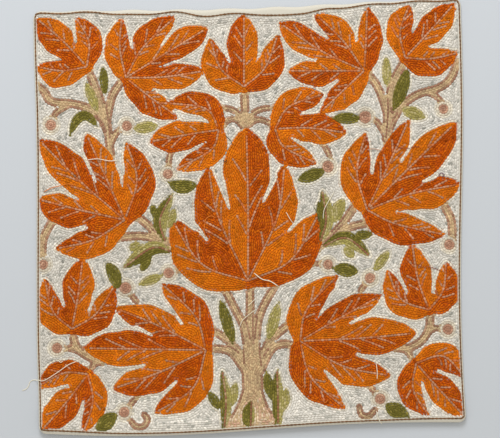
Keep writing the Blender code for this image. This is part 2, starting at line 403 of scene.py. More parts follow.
LEAVES = {
    "top_left_small": ((87, 67), [
        lobe((62, 71), (37.5, 67), 17.5, 11), lobe((64, 42), (36.5, 18.5), 18, 14),
        lobe((89, 42), (76, 17), 11, 14, 0.5)]),
    "top_left_large": ((126, 78), [
        lobe((120, 48), (122, 17.5), 16, 10.5, 0.45), lobe((143, 48), (175.5, 17), 16, 10.5),
        lobe((165, 54), (208, 28), 14, 13, 0.72), lobe((165, 77), (205, 71), 11.5, 14, 0.65),
        lobe((150, 97), (179, 118), 9.5, 17.5, 0.5)]),
    "top_middle_small": ((244, 87), [
        lobe((221, 69), (210, 38), 18.5, 10.5, 0.45), lobe((244, 50), (244, 14), 17.5, 14.5),
        lobe((265, 68), (278, 34.5), 11.5, 17.5, 0.45)]),
    "top_right_large": ((364, 71), [
        lobe((347, 87), (320, 113), 17, 10.5, 0.45), lobe((325, 71), (287, 71), 16, 11.5),
        lobe((321, 51), (278.5, 22.5), 14, 13.5, 0.7), lobe((343, 41), (315, 14), 14.5, 15.5),
        lobe((366, 40), (367, 7), 9, 17, 0.5)]),
    "top_right_small": ((405, 58), [
        lobe((400, 32), (409.5, 4.5), 14.5, 13, 0.55), lobe((429, 32), (454.5, 3.5), 14.5, 14.5),
        lobe((430, 59), (458.5, 53), 11, 18.5, 0.45)]),
    "middle_left_small": ((219, 130), [
        lobe((211, 150), (175, 170), 14.5, 10, 0.45), lobe((192, 134), (149, 142), 16, 15),
        lobe((206, 109), (166, 103), 9, 15, 0.5)]),
    "middle_right_small": ((275, 129), [
        lobe((289, 107), (324, 94), 15, 13.5, 0.55), lobe((308, 128), (347, 133), 15.5, 15.5),
        lobe((284, 147), (317, 164), 12, 15.5, 0.45)]),
    "centre_large": ((248, 281), [
        lobe((202, 264), (171, 218), 22, 20, 0.5), lobe((218, 216), (208, 165), 25, 14.5, 0.5),
        lobe((248, 205), (246.5, 127), 24, 23.5, 0.73),
        lobe((277, 218), (285, 163), 17, 18.5, 0.55), lobe((291, 260), (320, 212), 20, 20, 0.55)]),
    "left_large": ((125, 220), [
        lobe((93, 240), (55, 249), 18, 12.5, 0.5), lobe((80, 210), (37, 199), 21, 12.5, 0.65),
        lobe((80, 181), (38, 139), 16.5, 18.5, 0.62), lobe((108, 182), (86, 133), 14, 14.5),
        lobe((137, 180), (126, 141), 14, 19, 0.42)]),
    "right_large": ((367, 210), [
        lobe((357, 172), (366, 132), 17.5, 14, 0.45), lobe((388, 166), (409, 119), 13.5, 13, 0.55),
        lobe((410, 167), (456.3, 122), 14, 21.5, 0.66),
        lobe((410, 194), (461, 184), 14, 19.5, 0.66),
        lobe((396, 224), (446, 235), 13, 19.5, 0.42)]),
    "left_small": ((72, 329), [
        lobe((53, 311), (45, 278), 16.5, 11.5, 0.42), lobe((78, 297), (83, 258), 17, 15),
        lobe((96, 314), (115, 285), 11.5, 17, 0.45)]),
    "lower_left_large": ((206, 350), [
        lobe((193, 388), (154, 413.5), 16, 17, 0.5), lobe((160, 372), (112, 389), 18.5, 15),
        lobe((140, 349), (83, 348), 18, 18.5, 0.66), lobe((157, 325), (115, 308), 15, 17, 0.55),
        lobe((195, 316), (161, 283), 15, 16, 0.5)]),
    "lower_right_large": ((300, 341), [
        lobe((307, 309), (338, 275), 18, 14, 0.45), lobe((338, 319), (382, 295), 15.5, 10.5),
        lobe((362, 338), (417, 333), 19.5, 18, 0.64), lobe((343, 366), (392, 376), 14, 17.5, 0.58),
        lobe((311, 377), (346, 409), 14, 18, 0.42)]),
    "right_small": ((429, 310), [
        lobe((401, 299), (387, 269), 15.5, 10.5, 0.42),
        lobe((418, 280), (412, 244), 16.5, 15, 0.55),
        lobe((443, 290), (446, 261), 11, 17.5, 0.42)]),
    "bottom_left_small": ((88, 374), [
        lobe((93, 401), (84, 432), 15, 11, 0.45), lobe((65, 404), (42, 430), 16, 14.5),
        lobe((64, 373), (37, 387), 11.5, 13.5, 0.5)]),
    "bottom_right_small": ((416, 363), [
        lobe((443, 356), (465, 377), 14, 14.5, 0.5), lobe((438, 388), (464, 416), 15.5, 13),
        lobe((413, 389), (428, 415), 11.5, 16, 0.45)]),
}
print(len(LEAVES), "leaves with", sum(len(lobes) for _, lobes in LEAVES.values()), "lobes")

# %% The slits between lobes
# Each slit is a thin wedge of ground: where it opens, where it ends, and its width at the mouth.
SLITS = [
    ((46, 60.5), (57.8, 59.2), 4), ((73.5, 27), (76, 42.3), 4), ((129, 27), (131.7, 47.4), 5),
    ((173, 30), (161.3, 46), 3.5), ((190, 61), (173.5, 62.4), 3.5), ((172, 98), (153.7, 89.3), 5),
    ((225, 48), (229.2, 61.5), 3.5), ((263, 45), (258.4, 57.3), 3.5), ((326, 87.5), (338, 80.6), 4),
    ((300, 59), (315.5, 60.3), 3), ((308, 18.5), (327.5, 38.5), 8), ((356, 26), (356.2, 41), 4),
    ((417, 18), (412.3, 31), 3.5), ((443, 43.5), (429.5, 46.5), 3.5), ((175, 113), (192.2, 119), 4),
    ((187, 153), (200.8, 145), 4), ((311, 110.5), (300.5, 114), 3.5),
    ((308, 148), (292.5, 138.3), 4),
    ((196, 226), (207.2, 240), 5), ((217, 174), (229.4, 208.3), 7), ((275, 177), (263.4, 201.5), 6),
    ((299, 220), (288.3, 231.3), 4), ((70, 231), (85.8, 226), 4.5), ((58, 189), (78, 199.2), 5),
    ((84.5, 157), (95.3, 180.5), 4), ((119, 156), (122.8, 186.5), 3),
    ((374, 145), (372.6, 172.5), 5),
    ((411.5, 145), (400.8, 161.8), 3.5), ((435, 176.5), (421.9, 182.2), 5),
    ((420, 214.5), (405.5, 210.8), 3.5), ((60, 291), (64.2, 306), 4), ((94.5, 298), (88.8, 311), 3),
    ((165, 300), (183, 325), 4), ((136, 327), (151.5, 335), 4.5), ((130, 369), (145, 365), 4.5),
    ((161, 396), (176.8, 381), 5), ((332, 292), (320.7, 313.7), 3), ((364, 316), (350.2, 323.2), 4),
    ((368, 357), (356.7, 353.7), 3.5), ((338, 383), (325, 371), 5), ((400, 278), (406.8, 292), 3.5),
    ((435.5, 269), (432.5, 292.6), 5), ((43, 391.5), (68.2, 386.3), 4.5),
    ((80, 418), (83.8, 401), 6),
    ((457, 377), (437, 371.3), 3.5), ((429, 408), (421.5, 382), 6),
]
SLIT_END = 3.2
print(len(SLITS), "slits")

# %% [markdown]
# ## Branches, berries and green leaves
#
# The branches are bands three or four rows of yarn wide, with a darker row along each side.
# Berries are small discs in a pale ring. The green leaves are single lenses, and the sprays by
# the trunk are lenses in two greens with a few pointed side leaves.

# %% Branches: where each one runs, and how many rows wide it is
BRANCHES = {
    "stem_left": ([(222, 284), (232, 303), (243, 325), (247, 345)], 4),
    "stem_right": ([(276, 284), (264, 305), (258, 322), (256, 345)], 4),
    "stem_middle": ([(250, 278), (250, 300), (251, 345)], 4),
    "low_left_upper": ([(208, 327), (222, 336), (232, 344), (243, 357)], 4),
    "low_left_lower": ([(205, 349), (222, 349), (233, 354), (244, 369)], 4),
    "low_right_upper": ([(292, 322), (276, 335), (267, 345), (262, 362)], 4),
    "low_right_lower": ([(297, 345), (282, 344), (271, 350), (261, 370)], 4),
    "high_left_upper": ([(217, 108), (230, 109), (238, 114), (244, 124)], 3),
    "high_left_lower": ([(220, 131), (226, 122), (235, 119), (244, 128)], 3),
    "high_right_upper": ([(276, 108), (262, 109), (253, 114), (247, 124)], 3),
    "high_right_lower": ([(276, 127), (265, 121), (256, 120), (246, 128)], 3),
    "high_stem": ([(244, 85), (245, 108), (246, 133)], 4),
    "fan_left_a": ([(86, 66), (96, 88), (106, 118)], 4),
    "fan_left_b": ([(126, 77), (113, 95), (107, 120)], 4),
    "fan_left_wave": ([(36, 85), (45, 92), (49, 100), (58, 103), (73, 104), (90, 109),
                       (101, 118), (107, 130)], 4),
    "fan_left_fork": ([(52, 121), (56, 113), (66, 107)], 3),
    "fan_left_berry": ([(125, 127), (118, 131), (112, 142)], 3),
    "fan_left_stem": ([(106, 112), (108, 130), (111, 156)], 4),
    "fan_right_a": ([(364, 69), (378, 88), (388, 116)], 4),
    "fan_right_b": ([(406, 58), (392, 85), (388, 112)], 4),
    "fan_right_wave": ([(457, 62), (452, 76), (444, 85), (433, 90), (419, 94), (405, 103),
                        (394, 118), (388, 132)], 4),
    "fan_right_fork": ([(443, 106), (438, 98), (429, 93)], 3),
    "fan_right_berry": ([(366, 117), (376, 121), (384, 133)], 3),
    "fan_right_stem": ([(387, 106), (387, 120), (386, 140)], 4),
    "left_a": ([(135, 214), (150, 227), (163, 238), (178, 252)], 4),
    "left_b": ([(118, 238), (136, 236), (152, 238), (178, 250)], 4),
    "right_a": ([(356, 204), (340, 227), (318, 248)], 4),
    "right_b": ([(372, 222), (348, 228), (330, 238), (316, 250)], 4),
    "left_drop": ([(52, 222), (44, 238), (42, 258)], 4),
    "right_drop": ([(444, 206), (451, 220), (452, 238)], 4),
    "small_left_petiole": ([(73, 326), (75, 343), (84, 354), (102, 362)], 4),
    "small_left_berry": ([(58, 348), (72, 349), (84, 354)], 3),
    "small_left_fork": ([(100, 360), (93, 366), (87, 375)], 3),
    "small_right_petiole": ([(430, 308), (429, 328), (421, 341), (408, 348), (396, 348)], 4),
    "small_right_berry": ([(446, 329), (436, 328), (428, 332)], 3),
    "small_right_fork": ([(402, 347), (409, 354), (415, 364)], 3),
    "berry_a": ([(171, 150), (169, 160), (168, 172)], 3),
    "berry_b": ([(323, 144), (329, 155), (328, 166)], 3),
    "berry_c": ([(186, 267), (168, 273)], 3),
    "berry_d": ([(137, 302), (126, 288)], 3),
    "berry_e": ([(311, 263), (328, 264)], 3),
    "berry_f": ([(360, 291), (370, 278)], 3),
    "berry_g": ([(137, 396), (125, 412)], 3),
    "berry_h": ([(369, 385), (380, 399)], 3),
    "curl_left": ([(131, 420), (136, 426), (144, 426), (148, 419), (144, 414)], 3),
    "curl_right": ([(375, 409), (368, 416), (361, 414), (359, 406)], 3),
}
print(len(BRANCHES), "branches")

# %% The trunk, and the dark rows inside it
# The trunk: places up its middle, and half its width there
TRUNK = [((252, 432), 28), ((252.5, 418), 23), ((252.5, 404), 15), ((252.5, 390), 10.5),
         ((252.3, 376), 10.5), ((252, 362), 10.5), ((252, 348), 8.8), ((252, 334), 8)]
# Dark rows inside the trunks, where the branches run on side by side
SEAMS = [
    [(252.8, 312), (252.9, 330), (253.8, 344)], [(257.6, 316), (255.7, 327), (254.8, 342)],
    [(243.6, 314), (246.4, 323), (248.6, 331), (250, 339)], [(246.6, 312), (247, 327)],
    [(243.4, 346), (244.2, 364)], [(260, 342), (259.6, 352), (261.5, 366)],
    [(269, 347.6), (263.5, 356)], [(224, 344.6), (233, 348), (239, 353)],
    [(106.6, 98), (107, 110), (109, 124), (110, 138)],
    [(96, 114.5), (102, 122), (106.4, 132)], [(387.6, 98), (388, 111), (387, 125), (386, 138)],
    [(398, 112), (392, 122), (388.6, 132)], [(151, 228), (163, 238), (170, 245)],
    [(343, 224), (330, 237), (322, 244)],
]
print(len(TRUNK), "places up the trunk,", len(SEAMS), "dark rows")

# %% Berries and green leaves
# Berries: the middle, and the radius without its pale ring
BERRIES = [((51, 125), 5.6), ((127, 126), 5.2), ((168, 174), 5.2), ((43.5, 264.5), 5.2),
           ((125.7, 288), 6), ((168.8, 273), 5.4), ((57, 348), 5.4), ((124.6, 412), 5.4),
           ((365.2, 117.3), 6.4), ((443.4, 109), 5), ((327.9, 166.7), 6), ((328, 264.5), 5.2),
           ((370, 278), 5.4), ((449, 244.7), 5.4), ((447.7, 329.2), 5.4), ((380, 398.7), 5.4)]
# Green leaves: colour, path, half width
GREENS = [
    ("dark", [(103, 65), (105, 96)], 4.6), ("light", [(86, 82), (98, 113)], 5),
    ("dark", [(70, 136), (77, 120), (87, 116), (99, 128)], 5),
    ("light", [(132, 129), (159, 126)], 6), ("dark", [(168, 182), (182, 187), (198, 184)], 7),
    ("dark", [(105, 263), (113, 272), (119, 290)], 7), ("light", [(138, 285), (164, 275)], 5),
    ("dark", [(220, 299), (234, 345)], 6), ("light", [(279, 302), (268, 341)], 6),
    ("dark", [(408, 68), (402, 88), (393, 111)], 7), ("light", [(386, 56), (387, 88)], 5),
    ("light", [(401, 109), (426, 118)], 6.5), ("dark", [(332, 118), (362, 119)], 6),
    ("dark", [(297, 181), (326, 170)], 6.5), ("dark", [(332, 268), (359, 272)], 7),
    ("light", [(390, 250), (373, 272)], 5), ("dark", [(96, 432), (117, 412)], 8),
    ("dark", [(409, 417), (384, 404)], 8),
]
# Sprays: rib, width left and right of it, then side leaves as colour, root, tip, half width
SPRAYS = [
    ([(166, 243), (160, 220), (173, 193)], 7, 7,
     [("dark", (160, 222), (151, 204), 4.5), ("light", (166, 230), (175, 208), 6)]),
    ([(173, 252), (152, 248), (122, 269)], 8, 7,
     [("dark", (150, 254), (141, 272), 5), ("light", (146, 250), (128, 246), 6)]),
    ([(320, 243), (326, 220), (322, 189)], 6, 8,
     [("dark", (322, 225), (318, 201), 3.5), ("light", (330, 225), (344, 198), 7)]),
    ([(322, 247), (346, 238), (371, 257)], 7, 7,
     [("dark", (352, 236), (373, 234), 5), ("light", (344, 246), (354, 258), 5)]),
    ([(224, 432), (226, 400), (222, 369)], 6, 6,
     [("dark", (221, 410), (208, 391), 5), ("light", (231, 408), (236, 381), 5)]),
    ([(278, 432), (278, 400), (277, 368)], 6, 6,
     [("dark", (272, 400), (266, 371), 5.5), ("light", (282, 412), (287, 388), 5.5)]),
    ([(250.5, 431), (251.5, 400)], 9, 3.5, []),
]
print(len(BERRIES), "berries,", len(GREENS), "green leaves,", len(SPRAYS), "sprays")

# %% [markdown]
# ## Yarn
#
# Crewel wool is dyed in small lots, so one colour is never quite even. We name the wools once,
# as they look in daylight, and give every stitch a little of its own later on.

# %% The wools and the width of a row
PITCH = 2.3 * MM
STITCH = 3.7 * MM
WOOLS = {
    "ground": (217, 211, 202), "outline": (226, 217, 200), "bright": (218, 120, 18),
    "rust": (188, 82, 8), "vein": (190, 138, 108), "branch_side": (156, 114, 92),
    "branch": (206, 178, 138), "foot": (220, 196, 168), "berry": (182, 136, 112),
    "berry_ring": (212, 200, 180), "dark_green": (114, 106, 44), "light_green": (168, 156, 92),
    "spray_rib": (150, 106, 78), "edge": (124, 90, 62),
}
# The second shade of a wool, and the share of its stitches that take it
SECOND_SHADES = {
    "ground": ((176, 173, 164), 0.12), "vein": ((188, 112, 70), 0.32),
    "branch_side": ((178, 140, 114), 0.25), "branch": ((186, 154, 120), 0.32),
    "foot": ((214, 172, 146), 0.35), "berry": ((198, 156, 130), 0.3),
    "dark_green": ((138, 126, 60), 0.25), "light_green": ((186, 172, 124), 0.35),
    "spray_rib": ((178, 146, 112), 0.3),
}
WOOL_NAMES = list(WOOLS)
WOOL = {name: index for index, name in enumerate(WOOL_NAMES)}


def linear(colours):
    """Screen colours from 0 to 255 as amounts of light from 0 to 1."""
    share = np.asarray(colours, dtype=float) / 255
    return np.where(share <= 0.04045, share / 12.92, ((share + 0.055) / 1.055) ** 2.4)


WOOL_LIGHT = linear([WOOLS[name] for name in WOOL_NAMES])
SECOND_LIGHT = linear([SECOND_SHADES.get(name, (WOOLS[name], 0))[0] for name in WOOL_NAMES])
SECOND_SHARE = np.array([SECOND_SHADES.get(name, (0, 0))[1] for name in WOOL_NAMES])
print("row pitch", PITCH / MM, "mm, stitch", STITCH / MM, "mm,", len(WOOLS), "wools")

# %% [markdown]
# ## Painting the squares
#
# Each motif claims its squares in the order in which they overlap: trunk and branches first,
# then leaves over them, then berries and green leaves. A square keeps the number of its motif
# and of its wool. In a leaf the wools change at the ribs, bright and rust by turns.

# %% Claim squares
motif = np.zeros((LINES, COLS), dtype=np.int16)
wool = np.full((LINES, COLS), WOOL["ground"], dtype=np.uint8)
MOTIF_BRANCH, MOTIF_RING, MOTIF_BERRY = 1, 3, 4
# Each green leaf and each tree leaf has a number of its own, counted up from these
MOTIF_GREEN, MOTIF_LEAF = 10, 100
leaf_parts = np.zeros((LINES, COLS), dtype=np.int16)
vein_rows = []
BRANCH_STEPS = 70
TRUNK_STEPS = 90
LENS_STEPS = 60


def claim(block, mask, number, colour):
    """Give the marked squares of a block to a motif and a wool."""
    motif[block][mask] = number
    wool[block][mask] = WOOL[colour]


def lens(points, half_left, half_right):
    """A path with a lens-shaped width on either side of it."""
    path = curve_through(drawn(points), LENS_STEPS)
    wide = profile(LENS_ALONG, LENS_WIDE, LENS_STEPS) * UNIT
    return path, wide * half_left, wide * half_right


inner_rows = []
for points, rows in BRANCHES.values():
    path = curve_through(drawn(points), BRANCH_STEPS)
    half = np.full(BRANCH_STEPS, rows * PITCH / 2)
    block, share = ribbon(path, half, half)
    claim(block, np.abs(share) <= 1, MOTIF_BRANCH, "branch")
    shifts = (-0.5, 0.5) if rows == 4 else (0,)
    inner_rows += [path + normals_of(path) * shift * PITCH for shift in shifts]

trunk_path = curve_through(drawn([spot for spot, _ in TRUNK]), TRUNK_STEPS)
trunk_half = np.interp(np.linspace(0, 1, TRUNK_STEPS), np.linspace(0, 1, len(TRUNK)),
                       [half for _, half in TRUNK]) * UNIT
block, share = ribbon(trunk_path, trunk_half, trunk_half)
claim(block, np.abs(share) <= 1, MOTIF_BRANCH, "branch")
in_trunk = np.zeros((LINES, COLS), dtype=bool)
in_trunk[block] = np.abs(share) <= 1
print("branch squares", int((motif == MOTIF_BRANCH).sum()))

# %% Claim the leaves, and draw their ribs and veins
RIB_STEPS = 90
RIB_REACH = 0.95
VEIN_STARTS = (0.30, 0.46, 0.62)
VEIN_FORWARD = 0.17
VEIN_OUT = 0.66
VEIN_BEND = 0.42
VEIN_STEPS = 24
VEIN_SHORTEST = 12
VEIN_STRAY = 0.03
VEIN_STRETCH = 0.25
SWING = 0.04
SWING_WAVES = 3.2
SWING_SHIFT = 0.37
SWING_SPREAD = 40
SLIT_STEPS = 40


def leaf_lobes(heel, lobes):
    """Each lobe's path and widths: the shared profile, with a slight hand-drawn swing.

    A power of the way along moves the widest place: the power is the logarithm of the
    profile's own widest place over the logarithm of the lobe's."""
    steps = np.linspace(0, 1, RIB_STEPS)
    wide = profile(LOBE_ALONG, LOBE_WIDE, RIB_STEPS) * UNIT
    for number, part in enumerate(lobes):
        path = curve_through(drawn([heel, part["rib"], part["tip"]]), RIB_STEPS)
        power = math.log(LOBE_FULLEST) / math.log(part["fullest"])
        own = np.interp(steps ** power, steps, wide)
        turn = SWING_WAVES * steps + SWING_SHIFT * number + heel[0] / SWING_SPREAD
        swing = 1 + SWING * np.sin(2 * math.pi * turn)
        yield path, own * part["before"] * swing, own * part["after"] * swing[::-1]


in_slit = np.zeros((LINES, COLS), dtype=bool)
for mouth, end, wide in SLITS:
    path = curve_through(drawn([mouth, end]), SLIT_STEPS)
    half = np.linspace(wide, SLIT_END, SLIT_STEPS) * UNIT / 2
    block, share = ribbon(path, half, half)
    in_slit[block] |= np.abs(share) <= 1

for number, (name, (heel, lobes)) in enumerate(LEAVES.items()):
    nearest = np.full((LINES, COLS), np.inf)
    part_of = np.zeros((LINES, COLS), dtype=np.int16)
    shapes = list(leaf_lobes(heel, lobes))
    for index, (path, left, right) in enumerate(shapes):
        block, share = ribbon(path, left, right)
        closer = (np.abs(share) <= 1) & (np.abs(share) < nearest[block])
        nearest[block][closer] = np.abs(share)[closer]
        part_of[block][closer] = (index * 2 + (share < 0))[closer] + 1
    mask = (part_of > 0) & ~in_slit
    sector = part_of // 2
    motif[mask] = MOTIF_LEAF + number
    wool[mask] = np.where(sector[mask] % 2 == 0, WOOL["bright"], WOOL["rust"])
    leaf_parts[mask] = part_of[mask]
    for index, (path, left, right) in enumerate(shapes):
        vein_rows.append((number, path[: int(RIB_STEPS * RIB_REACH)]))
        normal = normals_of(path)
        for side, width in ((1, left), (-1, right)):
            for start in VEIN_STARTS:
                # A number from -1 to 1 that differs from vein to vein
                stray = math.sin(31 * start + 5 * index + 2.3 * side + heel[0])
                start = start + VEIN_STRAY * stray
                first = int(start * RIB_STEPS)
                reach = VEIN_FORWARD * (1 + VEIN_STRETCH * stray)
                last = int((start + reach) * RIB_STEPS)
                middle = (first + last) // 2
                out = side * width[last] * VEIN_OUT
                points = [path[first], path[middle] + normal[middle] * out * VEIN_BEND,
                          path[last] + normal[last] * out]
                vein = curve_through(points, VEIN_STEPS)
                own = square_at(leaf_parts, vein[:, 0], vein[:, 1]) == index * 2 + (side < 0) + 1
                own &= square_at(motif, vein[:, 0], vein[:, 1]) == MOTIF_LEAF + number
                own[0] = True
                keep = np.argmin(own) if not own.all() else len(own)
                if keep > VEIN_SHORTEST:
                    vein_rows.append((number, vein[:keep]))
print("leaf squares", int((motif >= MOTIF_LEAF).sum()), "ribs and veins", len(vein_rows))

# %% Claim the berries, green leaves and sprays
RING_WIDE = 1.2 * PITCH
everywhere = (slice(None), slice(None))
for spot, radius in BERRIES:
    x, y = drawn(spot)
    away = np.hypot(paper_x - x, paper_y - y)
    claim(everywhere, away < radius * UNIT + RING_WIDE, MOTIF_RING, "berry_ring")
    claim(everywhere, away < radius * UNIT, MOTIF_BERRY, "berry")

green_ribs = []
count = MOTIF_GREEN
for colour, points, half in GREENS:
    path, left, right = lens(points, half, half)
    block, share = ribbon(path, left, right)
    claim(block, np.abs(share) <= 1, count, colour + "_green")
    count += 1
for points, half_left, half_right, sides in SPRAYS:
    for colour, root, tip, half in sides:
        path, left, right = lens([root, tip], half, half)
        block, share = ribbon(path, left, right)
        claim(block, np.abs(share) <= 1, count, colour + "_green")
        count += 1
    path, left, right = lens(points, half_left, half_right)
    block, share = ribbon(path, left, right)
    claim(block, (share >= 0) & (share <= 1), count, "dark_green")
    claim(block, (share < 0) & (share >= -1), count + 1, "light_green")
    green_ribs.append(path[2:-3])
    count += 2
print("green squares", int(((motif >= MOTIF_GREEN) & (motif < MOTIF_LEAF)).sum()))

# %% Keep everything inside the row that runs round the edge
MARGIN = 1.1 * MM
stitched = on_panel_mask & (to_row > MARGIN)
motif[~stitched] = -1
print("squares to stitch", int(stitched.sum()))

# %% [markdown]
# ## Distances
#
# To find the rows we need, for every square, the distance to the edge of its motif. The exact
# distance comes in two passes: first along each line to the nearest marked square, then over
# the lines above and below, keeping the least sum of squares.

# %% Distance to marked squares
FAR = 10 ** 6


def distance_to(marked, reach):
    """Distance in metres from each square to the nearest marked one, up to reach squares."""
    columns = np.arange(COLS)
    last = np.where(marked, columns, -FAR)
    last = np.maximum.accumulate(last, axis=1)
    ahead = np.where(marked, columns, FAR)
    ahead = np.minimum.accumulate(ahead[:, ::-1], axis=1)[:, ::-1]
    flat = np.minimum(columns - last, ahead - columns).astype(np.float32) ** 2
    flat = np.minimum(flat, reach * reach * 4)
    best = flat.copy()
    for step in range(1, reach):
        best[step:] = np.minimum(best[step:], flat[:-step] + step * step)
        best[:-step] = np.minimum(best[:-step], flat[step:] + step * step)
    return np.sqrt(best) * CELL


def soften(values, times):
    """Average each square with its neighbours, weights 1 2 1 in both directions."""
    for _ in range(times):
        inner = values.copy()
        inner[1:-1] = (values[:-2] + 2 * values[1:-1] + values[2:]) / 4
        values = inner.copy()
        values[:, 1:-1] = (inner[:, :-2] + 2 * inner[:, 1:-1] + inner[:, 2:]) / 4
    return values


EDGE_REACH = 90
VEIN_REACH = 60
VEIN_FINE = 160
edge = np.zeros((LINES, COLS), dtype=bool)
change = motif[:, 1:] != motif[:, :-1]
edge[:, 1:] |= change
edge[:, :-1] |= change
change = motif[1:] != motif[:-1]
edge[1:] |= change
edge[:-1] |= change
to_edge = distance_to(edge, EDGE_REACH) + CELL / 2

veined = np.zeros((LINES, COLS), dtype=bool)
for path in [path for _, path in vein_rows] + green_ribs:
    fine = curve_through(path[::6], VEIN_FINE)
    veined[square_under(*fine.T)] = True
to_vein = distance_to(veined, VEIN_REACH)
depth = np.where(motif >= 0, np.minimum(to_edge, to_vein - PITCH / 2), 0)
depth = soften(depth, 2)
print("deepest square", round(float(depth.max()) / MM, 1), "mm from an edge or vein")

# %% [markdown]
# ## Rows as contour lines
#
# A row of stitches is a line on which the distance is constant: half a pitch, one and a half,
# and so on. Marching squares finds where such a line crosses each square. Every crossing has an
# id, so joining the pieces is a matter of looking up which piece starts where another ends. We
# follow all the lines at once by doubling: each piece learns what comes 1, 2, 4, 8 ... pieces on.

# %% Marching squares
# For each case of corners inside (a=1, b=2, c=4, d=8) the side where the line starts and ends:
# 0 bottom, 1 right, 2 top, 3 left. The inside is kept on the line's left.
LINE_CASES = {1: [(0, 3)], 2: [(1, 0)], 3: [(1, 3)], 4: [(2, 1)], 5: [(0, 3), (2, 1)],
              6: [(2, 0)], 7: [(2, 3)], 8: [(3, 2)], 9: [(0, 2)], 10: [(1, 0), (3, 2)],
              11: [(1, 2)], 12: [(3, 1)], 13: [(0, 1)], 14: [(3, 0)]}


def contour_pieces(values, level):
    """Short pieces of the line values == level: crossing ids and places of both ends."""
    inside = values > level
    case = (inside[:-1, :-1] + 2 * inside[:-1, 1:] + 4 * inside[1:, 1:] + 8 * inside[1:, :-1])
    flats = LINES * COLS
    found = []
    for number, ends in LINE_CASES.items():
        j, i = np.nonzero(case == number)
        sides = np.stack([j * COLS + i, flats + j * COLS + i + 1, (j + 1) * COLS + i,
                          flats + j * COLS + i])
        found += [np.stack([sides[a], sides[b]]) for a, b in ends]
    ids = np.concatenate(found, axis=1)
    upright = ids >= flats
    at = ids - upright * flats
    j, i = at // COLS, at % COLS
    first = values[j, i]
    second = np.where(upright, values[np.minimum(j + 1, LINES - 1), i],
                      values[j, np.minimum(i + 1, COLS - 1)])
    share = (level - first) / np.where(second == first, 1, second - first)
    x = PAPER_X[i] + share * CELL * ~upright
    y = PAPER_Y[j] + share * CELL * upright
    return ids, np.stack([x, y], axis=-1)


def join_pieces(ids, ends):
    """Order pieces into rows: each piece's row, its way to the row's end, and its length."""
    total = ids.shape[1]
    order = np.argsort(ids[0], kind="stable")
    spot = np.clip(np.searchsorted(ids[0][order], ids[1]), 0, total - 1)
    follow = np.where(ids[0][order][spot] == ids[1], order[spot], total)
    label = np.arange(total + 1)
    jump = np.append(follow, total)
    rounds = int(math.ceil(math.log2(total + 1))) + 1
    for _ in range(rounds):
        label = np.minimum(label, label[jump])
        jump = jump[jump]
    closed = jump[:total] != total
    opened = closed & (follow < total) & (label[np.minimum(follow, total)] == follow)
    follow = np.where(opened, total, follow)
    length = np.hypot(*(ends[1] - ends[0]).T)
    way = np.append(length, 0)
    jump = np.append(follow, total)
    tail = np.where(jump == total, np.arange(total + 1), jump)
    for _ in range(rounds):
        way = way + np.where(jump < total, way[jump], 0)
        tail = tail[tail]
        jump = jump[jump]
    return tail[:total], way[:total], length


print(len(LINE_CASES), "ways for a line to cross a square")

# %% Find every row
CROSSINGS = 2 * LINES * COLS
levels = np.arange(0.5, depth.max() / PITCH, 1) * PITCH
all_ids, all_ends = [], []
for number, level in enumerate(levels):
    ids, ends = contour_pieces(depth, level)
    all_ids.append(ids + number * CROSSINGS)
    all_ends.append(ends)
ids = np.concatenate(all_ids, axis=1)
ends = np.concatenate(all_ends, axis=1)
row_of_piece, way, length = join_pieces(ids, ends)
order = np.lexsort((-way, row_of_piece))
piece_row = row_of_piece[order]
start, finish = ends[0][order], ends[1][order]
print("pieces", len(order), "in", len(np.unique(piece_row)), "rows of",
      round(float(length.sum()), 1), "m in all")

# %% [markdown]
# ## Rows into stitches
#
# Each row is cut into equal stitches. Where two rows run into each other, a stitcher leaves one
# of them out. We keep a sheet of used squares for this: a stitch goes down only if the squares
# under its middle are still free. Ribs and veins go first, then the inner rows of the branches
# and the rings of the berries, then the rows that follow the outlines.

# %% Cut rows into stitches
ROW_SHORTEST = 0.45
STITCH_SHORTEST = 0.4


def cut_rows(points, row, longest=STITCH):
    """Equal stitches along rows: both ends of each and its row, from length over count."""
    step = np.hypot(*np.diff(points, axis=0).T)
    same = row[1:] == row[:-1]
    along = np.concatenate([[0], np.cumsum(np.where(same, step, 1.0))])
    first = np.flatnonzero(np.concatenate([[True], ~same]))
    last = np.append(first[1:] - 1, len(row) - 1)
    total = along[last] - along[first]
    fits = np.maximum(1, np.rint(total / longest)).astype(int)
    fits[total < ROW_SHORTEST * longest] = 0
    which = np.repeat(np.arange(len(first)), fits)
    number = np.arange(len(which)) - np.repeat(np.cumsum(fits) - fits, fits)
    size = (total / np.maximum(fits, 1))[which]
    begin = along[first][which] + number * size
    places = [np.interp(begin + part * size, along, points[:, axis])
              for part in (0, 1) for axis in (0, 1)]
    tail, head = np.stack(places[:2], axis=-1), np.stack(places[2:], axis=-1)
    straight = np.hypot(*(head - tail).T) > STITCH_SHORTEST * longest
    return tail[straight], head[straight], row[first][which][straight]


print("a row is cut into stitches of about", STITCH / MM, "mm")

# %% The sheet of used squares
used = np.zeros((LINES, COLS), dtype=bool)
# The squares round a sample that a stitch uses up, and the samples along its middle
STAMP = [(dj, di) for dj in range(-2, 3) for di in range(-2, 3) if dj * dj + di * di < 6]
SAMPLES = np.array([-0.22, 0, 0.22])
PAPER_MARGIN = 3


def samples_of(tail, head):
    """Squares under the middle of each stitch: three points, as line and column numbers."""
    middle = (tail + head) / 2
    spots = middle[:, None] + (head - tail)[:, None] * SAMPLES[None, :, None]
    return square_under(spots[..., 0], spots[..., 1], PAPER_MARGIN)


